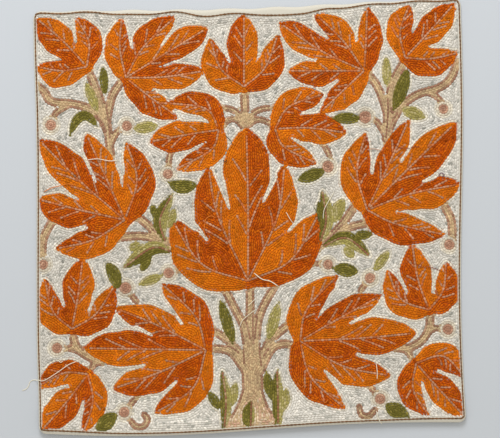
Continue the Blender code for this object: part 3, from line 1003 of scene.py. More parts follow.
def lay(tail, head, allowed, at_once=6):
    """Mark which stitches find their squares free, a few at once, and use the squares up."""
    j, i = samples_of(tail, head)
    kept = np.zeros(len(tail), dtype=bool)
    for begin in range(0, len(tail), at_once):
        part = slice(begin, begin + at_once)
        free = allowed[part] & ~used[j[part], i[part]].any(axis=1)
        kept[part] = free
        js, iz = j[part][free], i[part][free]
        for dj, di in STAMP:
            used[js + dj, iz + di] = True
    return kept


print("each of a stitch's", len(SAMPLES), "samples uses up", len(STAMP), "squares")


# %% Keep the stitches, and lay rows one by one
class Stitches:
    """All the stitches laid so far: ends, wool, motif, row number, and width in pitches."""

    def __init__(self):
        """Start with nothing laid."""
        self.parts = []

    def add(self, tail, head, colour, owner, row, width=1.0):
        """Note one batch of stitches, with one width for all or one for each."""
        width = np.broadcast_to(width, len(tail))
        self.parts.append((tail, head, colour, owner, row, width))

    def all(self):
        """Every batch joined: six whole arrays."""
        return [np.concatenate([part[k] for part in self.parts]) for k in range(6)]


laid = Stitches()
row_count = 0


def lay_paths(paths, colour, owner=None, width=1.0, clip=None, longest=STITCH):
    """Lay explicit rows one by one: a wool's number, whose motif, and where they may go."""
    global row_count
    total = 0
    for path in paths:
        tail, head, row = cut_rows(path, np.zeros(len(path), dtype=int), longest)
        if len(tail) == 0:
            continue
        middle = (tail + head) / 2
        belongs = square_at(motif, middle[:, 0], middle[:, 1])
        allowed = belongs >= 0
        if clip is not None:
            allowed &= clip(middle, belongs)
        kept = lay(tail, head, allowed)
        owners = belongs if owner is None else np.full(len(tail), owner)
        number = np.full(len(tail), row_count)
        laid.add(tail[kept], head[kept], np.full(kept.sum(), colour), owners[kept],
                 number[kept], width)
        row_count += 1
        total += int(kept.sum())
    return total


print("stitches laid so far", len(laid.parts))

# %% Lay ribs, veins, branch middles and berry rings
VEIN_WIDTH = 1.15
RING_WIDTH = 1.25
INNER_GAP = 0.8 * PITCH
SEAM_STEPS = 60
RING_STEPS = 40
RING_STITCH = 3.2 * MM
BERRY_STITCH = 2.9 * MM
# A berry's disc: circles from its rim inwards, then one short stitch in the middle
DISC_INSET = 0.55 * PITCH
DISC_STEP = 0.95 * PITCH
DISC_LEAST = 0.8 * PITCH
DOT_HALF = 0.9 * MM
DOT_STITCH = 2 * MM
ribs = lay_paths([path for _, path in vein_rows], WOOL["vein"], width=VEIN_WIDTH,
                 clip=lambda middle, belongs: belongs >= MOTIF_LEAF)
ribs += lay_paths(green_ribs, WOOL["spray_rib"], width=VEIN_WIDTH)
print("rib and vein stitches", ribs)


def inside_branch(middle, belongs):
    """A branch's inner rows stay in branches, and off the row along each side."""
    inside = (belongs == MOTIF_BRANCH) & ~square_at(in_trunk, *middle.T)
    return inside & (read_paper(to_edge, *middle.T) > INNER_GAP)


inner = lay_paths([curve_through(drawn(points), SEAM_STEPS) for points in SEAMS],
                  WOOL["branch_side"], owner=MOTIF_BRANCH,
                  clip=lambda middle, belongs: belongs == MOTIF_BRANCH)
inner += lay_paths(inner_rows, WOOL["branch"], owner=MOTIF_BRANCH, clip=inside_branch)
turns = np.linspace(0, 2 * math.pi, RING_STEPS)
circle = np.stack([np.cos(turns), np.sin(turns)], axis=-1)
for spot, radius in BERRIES:
    middle = drawn(spot)
    outer = radius * UNIT
    inner += lay_paths([middle + circle * (outer + RING_WIDE / 2)], WOOL["berry_ring"],
                       longest=RING_STITCH, width=RING_WIDTH,
                       clip=lambda middle, belongs: belongs == MOTIF_RING)
    discs = np.arange(outer - DISC_INSET, DISC_LEAST, -DISC_STEP)
    inner += lay_paths([middle + circle * away for away in discs], WOOL["berry"],
                       longest=BERRY_STITCH)
    dot = [middle - (DOT_HALF, 0), middle + (DOT_HALF, 0)]
    inner += lay_paths([np.array(dot)], WOOL["berry"], longest=DOT_STITCH)
print("branch and berry stitches", inner)

# %% Lay the rows that follow the outlines
SIDE_WIDTH = 1.35
BESIDE = 0.95 * PITCH
BESIDE_REACH = 8
FOOT_MOST = 0.85
FOOT_TOP = drawn((252, 396))[1]
FOOT_REACH = 18 * UNIT
rng = np.random.default_rng(11)
new_row = np.concatenate([[True], piece_row[1:] != piece_row[:-1]])
row_end = np.append(new_row[1:], True)
row_number = np.cumsum(new_row) - 1
spot_of_piece = np.arange(len(piece_row)) + row_number
outline_points = np.zeros((len(piece_row) + row_number[-1] + 1, 2))
outline_rows = np.zeros(len(outline_points), dtype=int)
outline_points[spot_of_piece] = start
outline_rows[spot_of_piece] = row_number
outline_points[spot_of_piece[row_end] + 1] = finish[row_end]
outline_rows[spot_of_piece[row_end] + 1] = row_number[row_end]
level_of_row = (ids[0][order] // CROSSINGS)[new_row]

tail, head, row = cut_rows(outline_points, outline_rows)
by_level = np.argsort(level_of_row[row], kind="stable")
tail, head, row = tail[by_level], head[by_level], row[by_level]
level = level_of_row[row]
middle = (tail + head) / 2
belongs = square_at(motif, middle[:, 0], middle[:, 1])
colour = square_at(wool, middle[:, 0], middle[:, 1]).astype(int)
allowed = belongs >= 0
allowed &= (belongs != MOTIF_RING) & (belongs != MOTIF_BERRY)
allowed &= (belongs != MOTIF_BRANCH) | (level == 0) | square_at(in_trunk, *middle.T)
kept = lay(tail, head, allowed)

beside = distance_to(motif >= MOTIF_RING, BESIDE_REACH)
is_outline = (belongs == 0) & (level == 0) & (read_paper(beside, *middle.T) < BESIDE)
colour[is_outline] = WOOL["outline"]
by_ground = distance_to(motif == 0, BESIDE_REACH)
is_side = (belongs == MOTIF_BRANCH) & (level == 0)
is_side &= read_paper(by_ground, *middle.T) < BESIDE
colour[is_side] = WOOL["branch_side"]
paler = np.clip((FOOT_TOP - middle[:, 1]) / FOOT_REACH, 0, FOOT_MOST)
is_foot = (colour == WOOL["branch"]) & square_at(in_trunk, *middle.T)
is_foot &= rng.uniform(size=len(colour)) < paler
colour[is_foot] = WOOL["foot"]
wide = np.where(is_side, SIDE_WIDTH, 1.0)
laid.add(tail[kept], head[kept], colour[kept], belongs[kept], row[kept] + row_count,
         wide[kept])
row_count += int(row.max()) + 1
print("outline stitches", int(kept.sum()), "of", len(kept))

# %% Fill what is still bare
FILL_SHARE = 0.66
FILL_LONG = 3.0 * MM
FILL_BLOCK = 4
FILL_ROUNDS = 3
COVER_STEPS = 8
FILL_WIDTH = 0.85
BARE_REACH = 10


def turn_field(tail, head):
    """The direction of the stitches round each block: mean of doubled angles, softened."""
    shape = (LINES // FILL_BLOCK + 1, COLS // FILL_BLOCK + 1)
    j, i = samples_of(tail, head)
    angle = 2 * np.arctan2(*(head - tail).T[::-1])
    sums = []
    for amount in (np.cos(angle), np.sin(angle)):
        field = np.zeros(shape)
        np.add.at(field, (j[:, 1] // FILL_BLOCK, i[:, 1] // FILL_BLOCK), amount)
        sums.append(soften(field, 2))
    return np.arctan2(sums[1], sums[0]) / 2


filled = 0
for _ in range(FILL_ROUNDS):
    tails, heads = laid.all()[:2]
    covered = np.zeros((LINES, COLS), dtype=bool)
    for share in np.linspace(0, 1, COVER_STEPS):
        covered[square_under(*(tails + (heads - tails) * share).T)] = True
    bare = distance_to(covered, BARE_REACH) * (motif >= 0)
    high, wide = LINES // FILL_BLOCK * FILL_BLOCK, COLS // FILL_BLOCK * FILL_BLOCK
    blocks = bare[:high, :wide].reshape(high // FILL_BLOCK, FILL_BLOCK, -1, FILL_BLOCK)
    blocks = blocks.transpose(0, 2, 1, 3).reshape(high // FILL_BLOCK, wide // FILL_BLOCK, -1)
    deepest = blocks.max(axis=2)
    bj, bi = np.nonzero(deepest > FILL_SHARE * PITCH)
    rank = np.argsort(-deepest[bj, bi], kind="stable")
    bj, bi = bj[rank], bi[rank]
    inner_spot = blocks[bj, bi].argmax(axis=1)
    j = bj * FILL_BLOCK + inner_spot // FILL_BLOCK
    i = bi * FILL_BLOCK + inner_spot % FILL_BLOCK
    angle = turn_field(tails, heads)[bj, bi]
    half = np.stack([np.cos(angle), np.sin(angle)], axis=-1) * FILL_LONG / 2
    middle = np.stack([PAPER_X[i], PAPER_Y[j]], axis=-1)
    kept = lay(middle - half, middle + half, np.ones(len(middle), dtype=bool), at_once=1)
    belongs, colour = motif[j, i], wool[j, i].astype(int)
    laid.add((middle - half)[kept], (middle + half)[kept], colour[kept], belongs[kept],
             np.arange(row_count, row_count + kept.sum()), FILL_WIDTH)
    row_count += int(kept.sum())
    filled += int(kept.sum())
print("fill stitches", filled)

# %% [markdown]
# ## A stitch of yarn
#
# One chain stitch is a loop: narrow where it comes up through the loop before it, widest past
# its middle, round at its end, with a groove between its two strands. Seventeen points are
# enough for that. We write them once, in shares of length, width and height, and then place
# all the stitches of a motif in one go.

# %% The loop and its faces
YARN_HIGH = 0.85 * MM
YARN_SUNK = 0.12
LOOP_RINGS = [(-0.26, 0.62, 0.86, 0.66), (0.08, 1.0, 1.0, 0.46), (0.36, 0.78, 0.92, 0.62)]
LOOP_ENDS = (-0.56, 0.56)
LOOP_SIDES = (-1, -0.52, 0, 0.52, 1)
# Painted shade on each point's colour: darker at the loop's foot, in its groove and at its ends,
# full on the crests
SIDE_PAINTED_SHADES = {1: 0.90, 0.52: 1.0, 0: 0.94}
END_HIGH = 0.30
END_PAINTED_SHADE = 0.92


def loop_template():
    """Points as (along, across, high), triangles, and a painted shade for each point: rings with a
    pole at either end.
    """
    points, shade = [], []
    for along, wide, crest, groove in LOOP_RINGS:
        for side in LOOP_SIDES:
            high = {1: -YARN_SUNK, 0.52: crest, 0: groove}[abs(side)]
            points.append((along, side * wide, high))
            shade.append(SIDE_PAINTED_SHADES[abs(side)])
    first, last = len(points), len(points) + 1
    for along in LOOP_ENDS:
        points.append((along, 0, END_HIGH))
        shade.append(END_PAINTED_SHADE)
    triangles = [(first, 4, 0), (last, 10, 14)]
    for ring in (0, 5):
        triangles += [(ring, ring + 4, ring + 9), (ring, ring + 9, ring + 5)]
    for side in range(4):
        triangles += [(first, side, side + 1), (last, 11 + side, 10 + side)]
        for ring in (0, 5):
            a, b = ring + side, ring + side + 1
            triangles += [(a, a + 5, b + 5), (a, b + 5, b)]
    points, triangles = np.array(points), np.array(triangles)
    a, b, c = (points[triangles[:, k]] for k in range(3))
    volume = np.einsum("ij,ij->i", a, np.cross(b, c)).sum() / 6
    if volume < 0:
        triangles = triangles[:, ::-1]
    return points, triangles, np.array(shade)


LOOP, LOOP_FACES, LOOP_PAINTED_SHADE = loop_template()
print("one stitch has", len(LOOP), "points and", len(LOOP_FACES), "triangles")

# %% Tints: dye lots, rows and single stitches
DYE_WAVES = 10
DYE_LENGTH = 34 * MM
DYE_EVEN = 3.2
WAVES = rng.normal(size=(DYE_WAVES, 2)) * 2 * math.pi / DYE_LENGTH
WAVE_STARTS = rng.uniform(0, 2 * math.pi, DYE_WAVES)
TONES = 4096
ROW_TONES = rng.normal(size=TONES)
# How much the dye lot, the row and the stitch itself change a tone
BY_LOT, BY_ROW, BY_SELF = 0.05, 0.03, 0.10
TONE_LEAST, TONE_MOST = 0.35, 1.6
# Leaves change more: a finer lot, and a share of the leaf's other wool mixed in
LEAF_LOT = 0.10
LEAF_LOT_FINER = 1.9
MORE_SELF = 0.03
MIXED = 0.18
MIXED_BY_LOT = 0.22
MIXED_MOST = 0.6
MIXED_FINER = 1.4
MIXED_SHIFT = 0.3
# The ground is paler along the foot of the panel
PALE_BELOW = -150 * MM
PALE_REACH = 50 * MM
PALE_MORE = 0.14


def dye(spots):
    """Slow change of a dye lot over the cloth: the mean of ten plane waves, about -1 to 1."""
    return np.sin(spots @ WAVES.T + WAVE_STARTS).sum(axis=1) / DYE_EVEN


def tint(spots, colour, row):
    """Each stitch's colour: its wool, lighter or darker by dye lot, by row and by itself."""
    light = WOOL_LIGHT[colour]
    own = rng.normal(size=len(spots))
    speck = rng.uniform(size=len(spots))
    ground = colour == WOOL["ground"]
    leafy = (colour == WOOL["bright"]) | (colour == WOOL["rust"])
    tone = 1 + BY_LOT * dye(spots) + BY_ROW * ROW_TONES[row % TONES] + BY_SELF * own
    leaf_lot = LEAF_LOT * dye(spots * LEAF_LOT_FINER)
    tone = np.where(leafy, tone + leaf_lot + MORE_SELF * own, tone)
    paler_at_foot = smooth((PALE_BELOW - spots[:, 1]) / PALE_REACH)
    tone = np.where(ground, tone + PALE_MORE * paler_at_foot + MORE_SELF * own, tone)
    light = np.where((speck < SECOND_SHARE[colour])[:, None], SECOND_LIGHT[colour], light)
    light = light * np.clip(tone, TONE_LEAST, TONE_MOST)[:, None]
    other = WOOL_LIGHT[np.where(colour == WOOL["bright"], WOOL["rust"], WOOL["bright"])]
    mixed = MIXED + MIXED_BY_LOT * dye(spots * MIXED_FINER + MIXED_SHIFT) + BY_SELF * own
    mixed = np.clip(mixed, 0, MIXED_MOST)[:, None]
    return np.where(leafy[:, None], light * (1 - mixed) + other * mixed, light)


print(DYE_WAVES, "waves of dye and", TONES, "row tones")

# %% A mesh from arrays
def new_piece(name, points, faces, colours, materials):
    """A mesh from arrays, with a colour for every point, smooth shaded, linked to the scene."""
    mesh = bpy.data.meshes.new(name)
    sides = faces.shape[1]
    mesh.vertices.add(len(points))
    mesh.vertices.foreach_set("co", points.astype(np.float32).ravel())
    mesh.loops.add(faces.size)
    mesh.loops.foreach_set("vertex_index", faces.astype(np.int32).ravel())
    mesh.polygons.add(len(faces))
    mesh.polygons.foreach_set("loop_start", np.arange(0, faces.size, sides, dtype=np.int32))
    mesh.polygons.foreach_set("use_smooth", np.ones(len(faces), dtype=bool))
    paint = mesh.attributes.new("yarn_colour", "FLOAT_COLOR", "POINT")
    rgba = np.ones((len(points), 4), dtype=np.float32)
    rgba[:, :3] = colours
    paint.data.foreach_set("color", rgba.ravel())
    mesh.update(calc_edges=True)
    mesh.validate()
    for item in materials:
        mesh.materials.append(item)
    piece = bpy.data.objects.new(name, mesh)
    bpy.context.scene.collection.objects.link(piece)
    return piece


print(len(bpy.data.meshes), "meshes before the first piece")

# %% Place stitches as one mesh
LOOP_HALF = 0.56
WIDE_RANGE = (0.92, 1.08)
TALL_RANGE = (0.88, 1.1)


def stitched_piece(name, tail, head, colour, row, width, item, high=YARN_HIGH, above=0.0,
                   overlap=1.1, stray=0.06):
    """Lay a loop from each tail to each head: along the stitch, across it, and up."""
    middle = (tail + head) / 2
    turn = rng.normal(0, stray, len(tail))[:, None]
    half = (head - tail) / 2
    half = half * np.cos(turn) + np.stack([-half[:, 1], half[:, 0]], axis=-1) * np.sin(turn)
    tail, head = middle - half, middle + half
    long = np.hypot(*(head - tail).T)
    along = (head - tail) / long[:, None]
    across = np.stack([-along[:, 1], along[:, 0]], axis=-1)
    wide = PITCH * LOOP_HALF * width * rng.uniform(*WIDE_RANGE, len(tail))
    tall = high * rng.uniform(*TALL_RANGE, len(tail))
    run = LOOP[None, :, 0, None] * long[:, None, None] * overlap
    beside = LOOP[None, :, 1, None] * wide[:, None, None]
    xy = middle[:, None] + along[:, None] * run + across[:, None] * beside
    face = read_paper(face_height, xy[..., 0], xy[..., 1])
    z = face + above - high + LOOP[None, :, 2] * tall[:, None]
    points = np.concatenate([xy, z[..., None]], axis=-1).reshape(-1, 3)
    faces = (LOOP_FACES[None] + (np.arange(len(tail)) * len(LOOP))[:, None, None]).reshape(-1, 3)
    # Each point's colour is its stitch's tint times the loop's painted shade
    colours = tint(middle, colour, row)[:, None] * LOOP_PAINTED_SHADE[None, :, None]
    return new_piece(name, points, faces, colours.reshape(-1, 3), [item])


print("a loop is", round(2 * LOOP_HALF * PITCH / MM, 2), "mm wide and", YARN_HIGH / MM, "mm high")

# %% [markdown]
# ## Finishes
#
# Wool yarn is matt, with a soft halo where light grazes its fibres, so it gets a high roughness
# and some sheen. Its colour comes from the mesh, and fine noise breaks it up into fibres. The
# cotton of the hem is a plain weave, drawn as two fine wave patterns.

# %% Helpers for materials
def new_material(name):
    """A node material: itself, its nodes, its links and its shader."""
    item = bpy.data.materials.new(name)
    item.use_nodes = True
    nodes = item.node_tree.nodes
    return item, nodes, item.node_tree.links, nodes["Principled BSDF"]


def set_values(node, values):
    """Write values on a node's sockets, by the sockets' names."""
    for socket, value in values.items():
        node.inputs[socket].default_value = value


def tint_and_raise(nodes, links, shader, pattern, shades, relief):
    """The mesh's own colour times a pattern's shade, and a bump that follows the pattern."""
    paint = nodes.new("ShaderNodeAttribute")
    paint.attribute_name = "yarn_colour"
    spread = nodes.new("ShaderNodeMapRange")
    set_values(spread, shades)
    links.new(pattern, spread.inputs["Value"])
    mix = nodes.new("ShaderNodeVectorMath")
    mix.operation = "SCALE"
    links.new(paint.outputs["Color"], mix.inputs[0])
    links.new(spread.outputs["Result"], mix.inputs["Scale"])
    links.new(mix.outputs["Vector"], shader.inputs["Base Color"])
    bump = nodes.new("ShaderNodeBump")
    set_values(bump, relief)
    links.new(pattern, bump.inputs["Height"])
    links.new(bump.outputs["Normal"], shader.inputs["Normal"])


print(len(bpy.data.materials), "materials before the first finish")

# %% Wool and cotton
# Scales are features for each metre: fibres are about 0.9 mm long, cotton threads 0.8 mm apart
WOOL_FIBRES = {"Scale": 1 / (0.9 * MM), "Detail": 5, "Roughness": 0.6}
WOOL_SHADES = {"From Min": 0.3, "From Max": 0.7, "To Min": 0.84, "To Max": 1.16}
WOOL_RELIEF = {"Strength": 0.5, "Distance": 0.25 * MM}
WOOL_FINISH = {"Roughness": 0.92, "Specular IOR Level": 0.08, "Sheen Roughness": 0.55}
COTTON_THREADS = {"Scale": 1 / (0.8 * MM) / 3.2, "Distortion": 1.2, "Detail": 1}
COTTON_SHADES = {"To Min": 0.8, "To Max": 1.06}
COTTON_RELIEF = {"Strength": 0.4, "Distance": 0.15 * MM}
COTTON_FINISH = {"Roughness": 0.88, "Specular IOR Level": 0.3}


def wool_material(name, sheen):
    """Matt dyed yarn: the stitch's own colour, broken up into fibres by noise."""
    item, nodes, links, shader = new_material(name)
    where = nodes.new("ShaderNodeTexCoord")
    fibres = nodes.new("ShaderNodeTexNoise")
    set_values(fibres, WOOL_FIBRES)
    links.new(where.outputs["Object"], fibres.inputs["Vector"])
    tint_and_raise(nodes, links, shader, fibres.outputs["Fac"], WOOL_SHADES, WOOL_RELIEF)
    set_values(shader, WOOL_FINISH)
    shader.inputs["Sheen Weight"].default_value = sheen
    return item


def cotton_material(name):
    """Plain cream cotton: the mesh's colour under the higher of two crossed wave patterns."""
    item, nodes, links, shader = new_material(name)
    where = nodes.new("ShaderNodeTexCoord")
    weave = nodes.new("ShaderNodeMath")
    weave.operation = "MAXIMUM"
    for number, direction in enumerate(("X", "Y")):
        wave = nodes.new("ShaderNodeTexWave")
        wave.bands_direction = direction
        set_values(wave, COTTON_THREADS)
        links.new(where.outputs["Object"], wave.inputs["Vector"])
        links.new(wave.outputs["Fac"], weave.inputs[number])
    tint_and_raise(nodes, links, shader, weave.outputs["Value"], COTTON_SHADES, COTTON_RELIEF)
    set_values(shader, COTTON_FINISH)
    return item


GROUND_WOOL = wool_material("pale ground wool", 0.05)
LEAF_WOOL = wool_material("orange leaf wool", 0.0)
BRANCH_WOOL = wool_material("beige branch wool", 0.05)
GREEN_WOOL = wool_material("olive wool", 0.0)
EDGE_WOOL = wool_material("brown edge wool", 0.0)
THREAD_WOOL = wool_material("loose thread wool", 0.1)
HEM_COTTON = cotton_material("cream hem cotton")
print(len(bpy.data.materials), "materials")

# %% [markdown]
# ## The pieces
#
# One piece for each leaf, three bands of ground, and one piece each for the branches, the
# berries and the greens, so that anyone can recolour a motif on its own.

# %% Make the stitched pieces
LEAF_ABOVE = 0.15 * MM
GROUND_BANDS = np.array([-80, 80]) * MM
GROUND_STRAY = 0.2
tails, heads, colours, owners, rows_of, widths = laid.all()
middles = (tails + heads) / 2


def make(name, mask, item, slot_name, **more):
    """One stitched piece from the marked stitches, riding on the cloth's body."""
    piece = stitched_piece(name, tails[mask], heads[mask], colours[mask], rows_of[mask],
                           widths[mask], item, **more)
    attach(piece, "root")


for number, name in enumerate(LEAVES):
    make("leaf_" + name, owners == MOTIF_LEAF + number, LEAF_WOOL, "leaf_wool", above=LEAF_ABOVE)
is_ground = owners == 0
for index, name in enumerate(("lower", "middle", "upper")):
    band = np.searchsorted(GROUND_BANDS, middles[:, 1]) == index
    make("ground_" + name, is_ground & band, GROUND_WOOL, "ground_wool", stray=GROUND_STRAY)
make("branches", owners == MOTIF_BRANCH, BRANCH_WOOL, "branch_wool")
make("berries", (owners == MOTIF_RING) | (owners == MOTIF_BERRY), BRANCH_WOOL, "vein_wool")
make("green_leaves", (owners >= MOTIF_GREEN) & (owners < MOTIF_LEAF), GREEN_WOOL, "green_wool")

# %% The brown row round the edge
EDGE_STITCH = 4.2 * MM
EDGE_WIDTH = 0.9
EDGE_YARN = {"high": 1.2 * MM, "above": 0.75 * MM, "overlap": 1.5, "stray": 0.03}
LAP_STEPS = 400
lap = np.linspace(0, 1, LAP_STEPS, endpoint=False)
half_w, half_h = PANEL_WIDTH / 2 - EDGE_INSET, PANEL_HEIGHT / 2
across_lap = lap * 2 * half_w - half_w
row_low = row_inset(across_lap, LOW_DIPS) - half_h
row_top = half_h - row_inset(across_lap, TOP_DIPS)
sides = [np.stack([lap * 0 - half_w, row_top[0] + lap * (row_low[0] - row_top[0])], axis=-1),
         np.stack([across_lap, row_low], axis=-1),
         np.stack([lap * 0 + half_w, row_low[-1] + lap * (row_top[-1] - row_low[-1])], axis=-1),
         np.stack([across_lap[::-1], row_top[::-1]], axis=-1)]
square_lap = np.concatenate(sides + [sides[0][:1]])
lap_path = np.stack(place(square_lap[:, 0], square_lap[:, 1]), axis=-1)
tail, head, row = cut_rows(lap_path, np.zeros(len(lap_path), dtype=int), EDGE_STITCH)
edge_piece = stitched_piece("brown_edge_row", tail, head, np.full(len(tail), WOOL["edge"]), row,
                            np.full(len(tail), EDGE_WIDTH), EDGE_WOOL, **EDGE_YARN)
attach(edge_piece, "root")
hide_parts("edge_row")
print("edge row of", len(tail), "stitches")

# %% [markdown]
# ## The cloth under the stitches
#
# Under the wool is one sheet of cotton with its edges turned to the back. It could be a flat
# plate, but then the rim would look cut. So it is a closed shell on the same form as the
# solid: its face lies a yarn's depth down wherever it is stitched, and comes up to full height
# at the rolled rim.

# %% Lines of points, closer at the edges
CLOTH_STEP = 3.6 * MM
UNDER_YARN = 0.8 * MM
DROP_START = 0.2 * MM
DROP_REACH = 1.2 * MM
EDGE_LINES = np.array([0, 0.3, 0.935, 1.7, 2.7, 3.7, 5.2, 7.5, 10, 13, 14, 15]) * MM
TOP_LINES = np.array([0, 0.3, 0.935, 1.9, 3.6, 4.6, 5.6, 7.5, 10, 13, 14, 15]) * MM


def lines_between(half, first, last):
    """Places of the lines across one direction: edge lines, even steps, edge lines."""
    low, high = -half + first, (half - last)[::-1]
    count = int(round((high[0] - low[-1]) / CLOTH_STEP))
    return np.concatenate([low, np.linspace(low[-1], high[0], count + 1)[1:-1], high])


lines_x = lines_between(PANEL_WIDTH / 2, EDGE_LINES, EDGE_LINES)
lines_y = lines_between(PANEL_HEIGHT / 2, EDGE_LINES, TOP_LINES)
grid_x, grid_y = np.meshgrid(lines_x, lines_y)
place_x, place_y = place(grid_x, grid_y)
bottom_z = underside(grid_x, grid_y)
row_gap = inside_row(grid_x, grid_y)
drop = UNDER_YARN * smooth((row_gap + DROP_START) / DROP_REACH)
top_z = bottom_z + fullness(grid_x, grid_y) - drop
print("cloth of", len(lines_x), "by", len(lines_y), "points")

# %% Close the shell and colour it
COTTON = linear((214, 202, 180))
RIM = linear((206, 200, 187))
BULGE = 0.35 * MM
# Under the yarn the cloth's face takes the wool's colour, darkened: painted shade in the gaps
# between stitches
GAP_PAINTED_SHADE = 0.88
UNDER_REACH = 1.5 * MM
HEM_FADE = 1 * MM
BACK_YARN = 0.45
columns_n, lines_n = len(lines_x), len(lines_y)
index = np.arange(columns_n * lines_n).reshape(lines_n, columns_n)
a, b = index[:-1, :-1].ravel(), index[:-1, 1:].ravel()
c, d = index[1:, 1:].ravel(), index[1:, :-1].ravel()
upper = np.stack([a, b, c, d], axis=1)
lower = np.stack([a, d, c, b], axis=1) + index.size
rim = np.concatenate([index[0, :-1], index[:-1, -1], index[-1, :0:-1], index[:0:-1, 0]])
rim_next = np.roll(rim, -1)
rim_x, rim_y = place_x.ravel()[rim], place_y.ravel()[rim]
away = np.stack([np.roll(rim_y, -1) - np.roll(rim_y, 1),
                 np.roll(rim_x, 1) - np.roll(rim_x, -1)], axis=-1)
away /= np.hypot(*away.T)[:, None]
mid = 2 * index.size + np.arange(len(rim))
mid_next = np.roll(mid, -1)
below, below_next = rim + index.size, rim_next + index.size
wall = np.concatenate([np.stack([below, below_next, mid_next, mid], axis=1),
                       np.stack([mid, mid_next, rim_next, rim], axis=1)])
points = np.concatenate([
    np.stack([place_x, place_y, top_z], axis=-1).reshape(-1, 3),
    np.stack([place_x, place_y, bottom_z], axis=-1).reshape(-1, 3),
    np.column_stack([rim_x + away[:, 0] * BULGE, rim_y + away[:, 1] * BULGE,
                     (top_z.ravel()[rim] + bottom_z.ravel()[rim]) / 2])])
yarn = WOOL_LIGHT[square_at(wool, place_x, place_y)]
under = smooth(row_gap / UNDER_REACH)[..., None]
# Rim colour at the rolled edge, and inside it the wool's colour darkened as painted shade between
# the stitches
top_colour = RIM * (1 - under) + yarn * GAP_PAINTED_SHADE * under
past_hem = inset_of(grid_x, grid_y) - HEM_WIDTH
hemmed = smooth((past_hem + HEM_FADE / 2) / HEM_FADE)[..., None]
back_colour = COTTON * (1 - BACK_YARN * hemmed) + yarn * BACK_YARN * hemmed
shell_colours = np.concatenate([top_colour.reshape(-1, 3), back_colour.reshape(-1, 3),
                                np.tile(RIM, (len(rim), 1))])
cloth = new_piece("cotton_cloth", points, np.concatenate([lower, wall, upper]), shell_colours,
                  [HEM_COTTON])
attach(cloth, "root")
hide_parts("ground_cloth")
print("cloth faces", len(cloth.data.polygons))

# %% [markdown]
# ## Loose ends
#
# On a piece that comes off the embroidery frame there are always a few cut ends of yarn on
# the face. Each is a short tube along a few points, resting on the stitches.

# %% Loose threads
THREAD_COLOURS = {"white": (232, 224, 204), "orange": (214, 122, 44), "dark_green": (74, 84, 44),
                  "dark_red": (128, 58, 40), "pink": (190, 150, 128), "purple": (108, 78, 92),
                  "black": (50, 42, 36)}
# Colour, thickness in mm, and the places it passes
THREADS = [
    ("white", 0.8, [(87, 160), (98, 159), (110, 161), (120, 160)]),
    ("orange", 0.8, [(44, 192), (52, 188), (60, 186), (68, 184), (75, 185)]),
    ("white", 0.8, [(77, 361), (68, 365), (58, 372), (45, 380), (39, 380), (33, 380),
                    (30, 382), (28.5, 386), (26, 389), (22, 390.5)]),
    ("white", 1.0, [(254, 273), (262, 279), (270, 281), (278, 286)]),
    ("white", 0.6, [(239, 329), (242, 321), (247, 316), (256, 309)]),
    ("white", 0.6, [(248, 306), (251, 303), (255, 299)]),
    ("white", 0.7, [(334, 192), (328, 202), (324, 210), (323, 219)]),
    ("dark_green", 0.6, [(313, 206), (317, 213), (320, 222)]),
    ("white", 0.7, [(286, 212), (290, 219), (293, 223)]),
    ("orange", 0.8, [(206, 237), (204, 231), (205, 225), (206, 219), (211, 216), (216, 218)]),
    ("black", 0.6, [(225, 135), (230, 140), (233, 145)]),
    ("black", 0.8, [(223, 160), (225, 162), (227, 160)]),
    ("pink", 0.8, [(367, 150), (374, 149), (382, 151)]),
    ("dark_red", 0.6, [(394, 144), (400, 148), (407, 149), (414, 147), (420, 147)]),
    ("purple", 0.9, [(438, 176), (441, 173), (444, 175), (442, 177)]),
    ("white", 0.8, [(376, 363), (377, 371), (377, 379)]),
    ("orange", 0.7, [(297, 382), (301, 387), (305, 384), (303, 393)]),
    ("orange", 0.7, [(321, 398), (325, 402), (328, 399)]),
    ("dark_red", 0.6, [(415, 264), (422, 267), (430, 267), (441, 271)]),
    ("white", 0.8, [(376, 410), (378, 418), (382, 424)]),
    ("white", 0.8, [(58, 360), (61, 362), (63, 361)]),
]
print(len(THREADS), "loose threads in", len(THREAD_COLOURS), "colours")

# %% Tubes for the threads
TUBE_SIDES = 6
END_STEPS = 1.5
END_SHARE = 0.25
STEPS_EACH = 6
THREAD_CLEAR = 0.1 * MM
THREAD_ARCH = 0.5 * MM
FALL_REACH = 4 * MM


def thread_tube(path, radius, colour):
    """A closed tube: circles square to the path, drawn in to a point at either end."""
    steps = len(path)
    flat_normal = normals_of(path[:, :2])
    side = np.column_stack([flat_normal, np.zeros(steps)])
    turn = np.linspace(0, 2 * math.pi, TUBE_SIDES, endpoint=False)
    to_end = np.minimum(np.arange(steps), np.arange(steps)[::-1])
    ease = np.minimum(1, to_end / END_STEPS + END_SHARE)
    ring = (side[:, None] * np.cos(turn)[None, :, None]
            + np.array([0, 0, 1]) * np.sin(turn)[None, :, None])
    body = (path[:, None] + ring * (radius * ease)[:, None, None]).reshape(-1, 3)
    points = np.concatenate([body, path[:1], path[-1:]])
    around = np.arange(TUBE_SIDES)
    after = np.roll(around, -1)
    base = (np.arange(steps - 1) * TUBE_SIDES)[:, None]
    a, b = (base + around).ravel(), (base + after).ravel()
    faces = np.concatenate([np.stack([a, b + TUBE_SIDES, b], axis=1),
                            np.stack([a, a + TUBE_SIDES, b + TUBE_SIDES], axis=1),
                            np.stack([np.full(TUBE_SIDES, len(body)), around, after], axis=1),
                            np.stack([np.full(TUBE_SIDES, len(body) + 1),
                                      after + len(body) - TUBE_SIDES,
                                      around + len(body) - TUBE_SIDES], axis=1)])
    return points, faces, np.tile(colour, (len(points), 1))


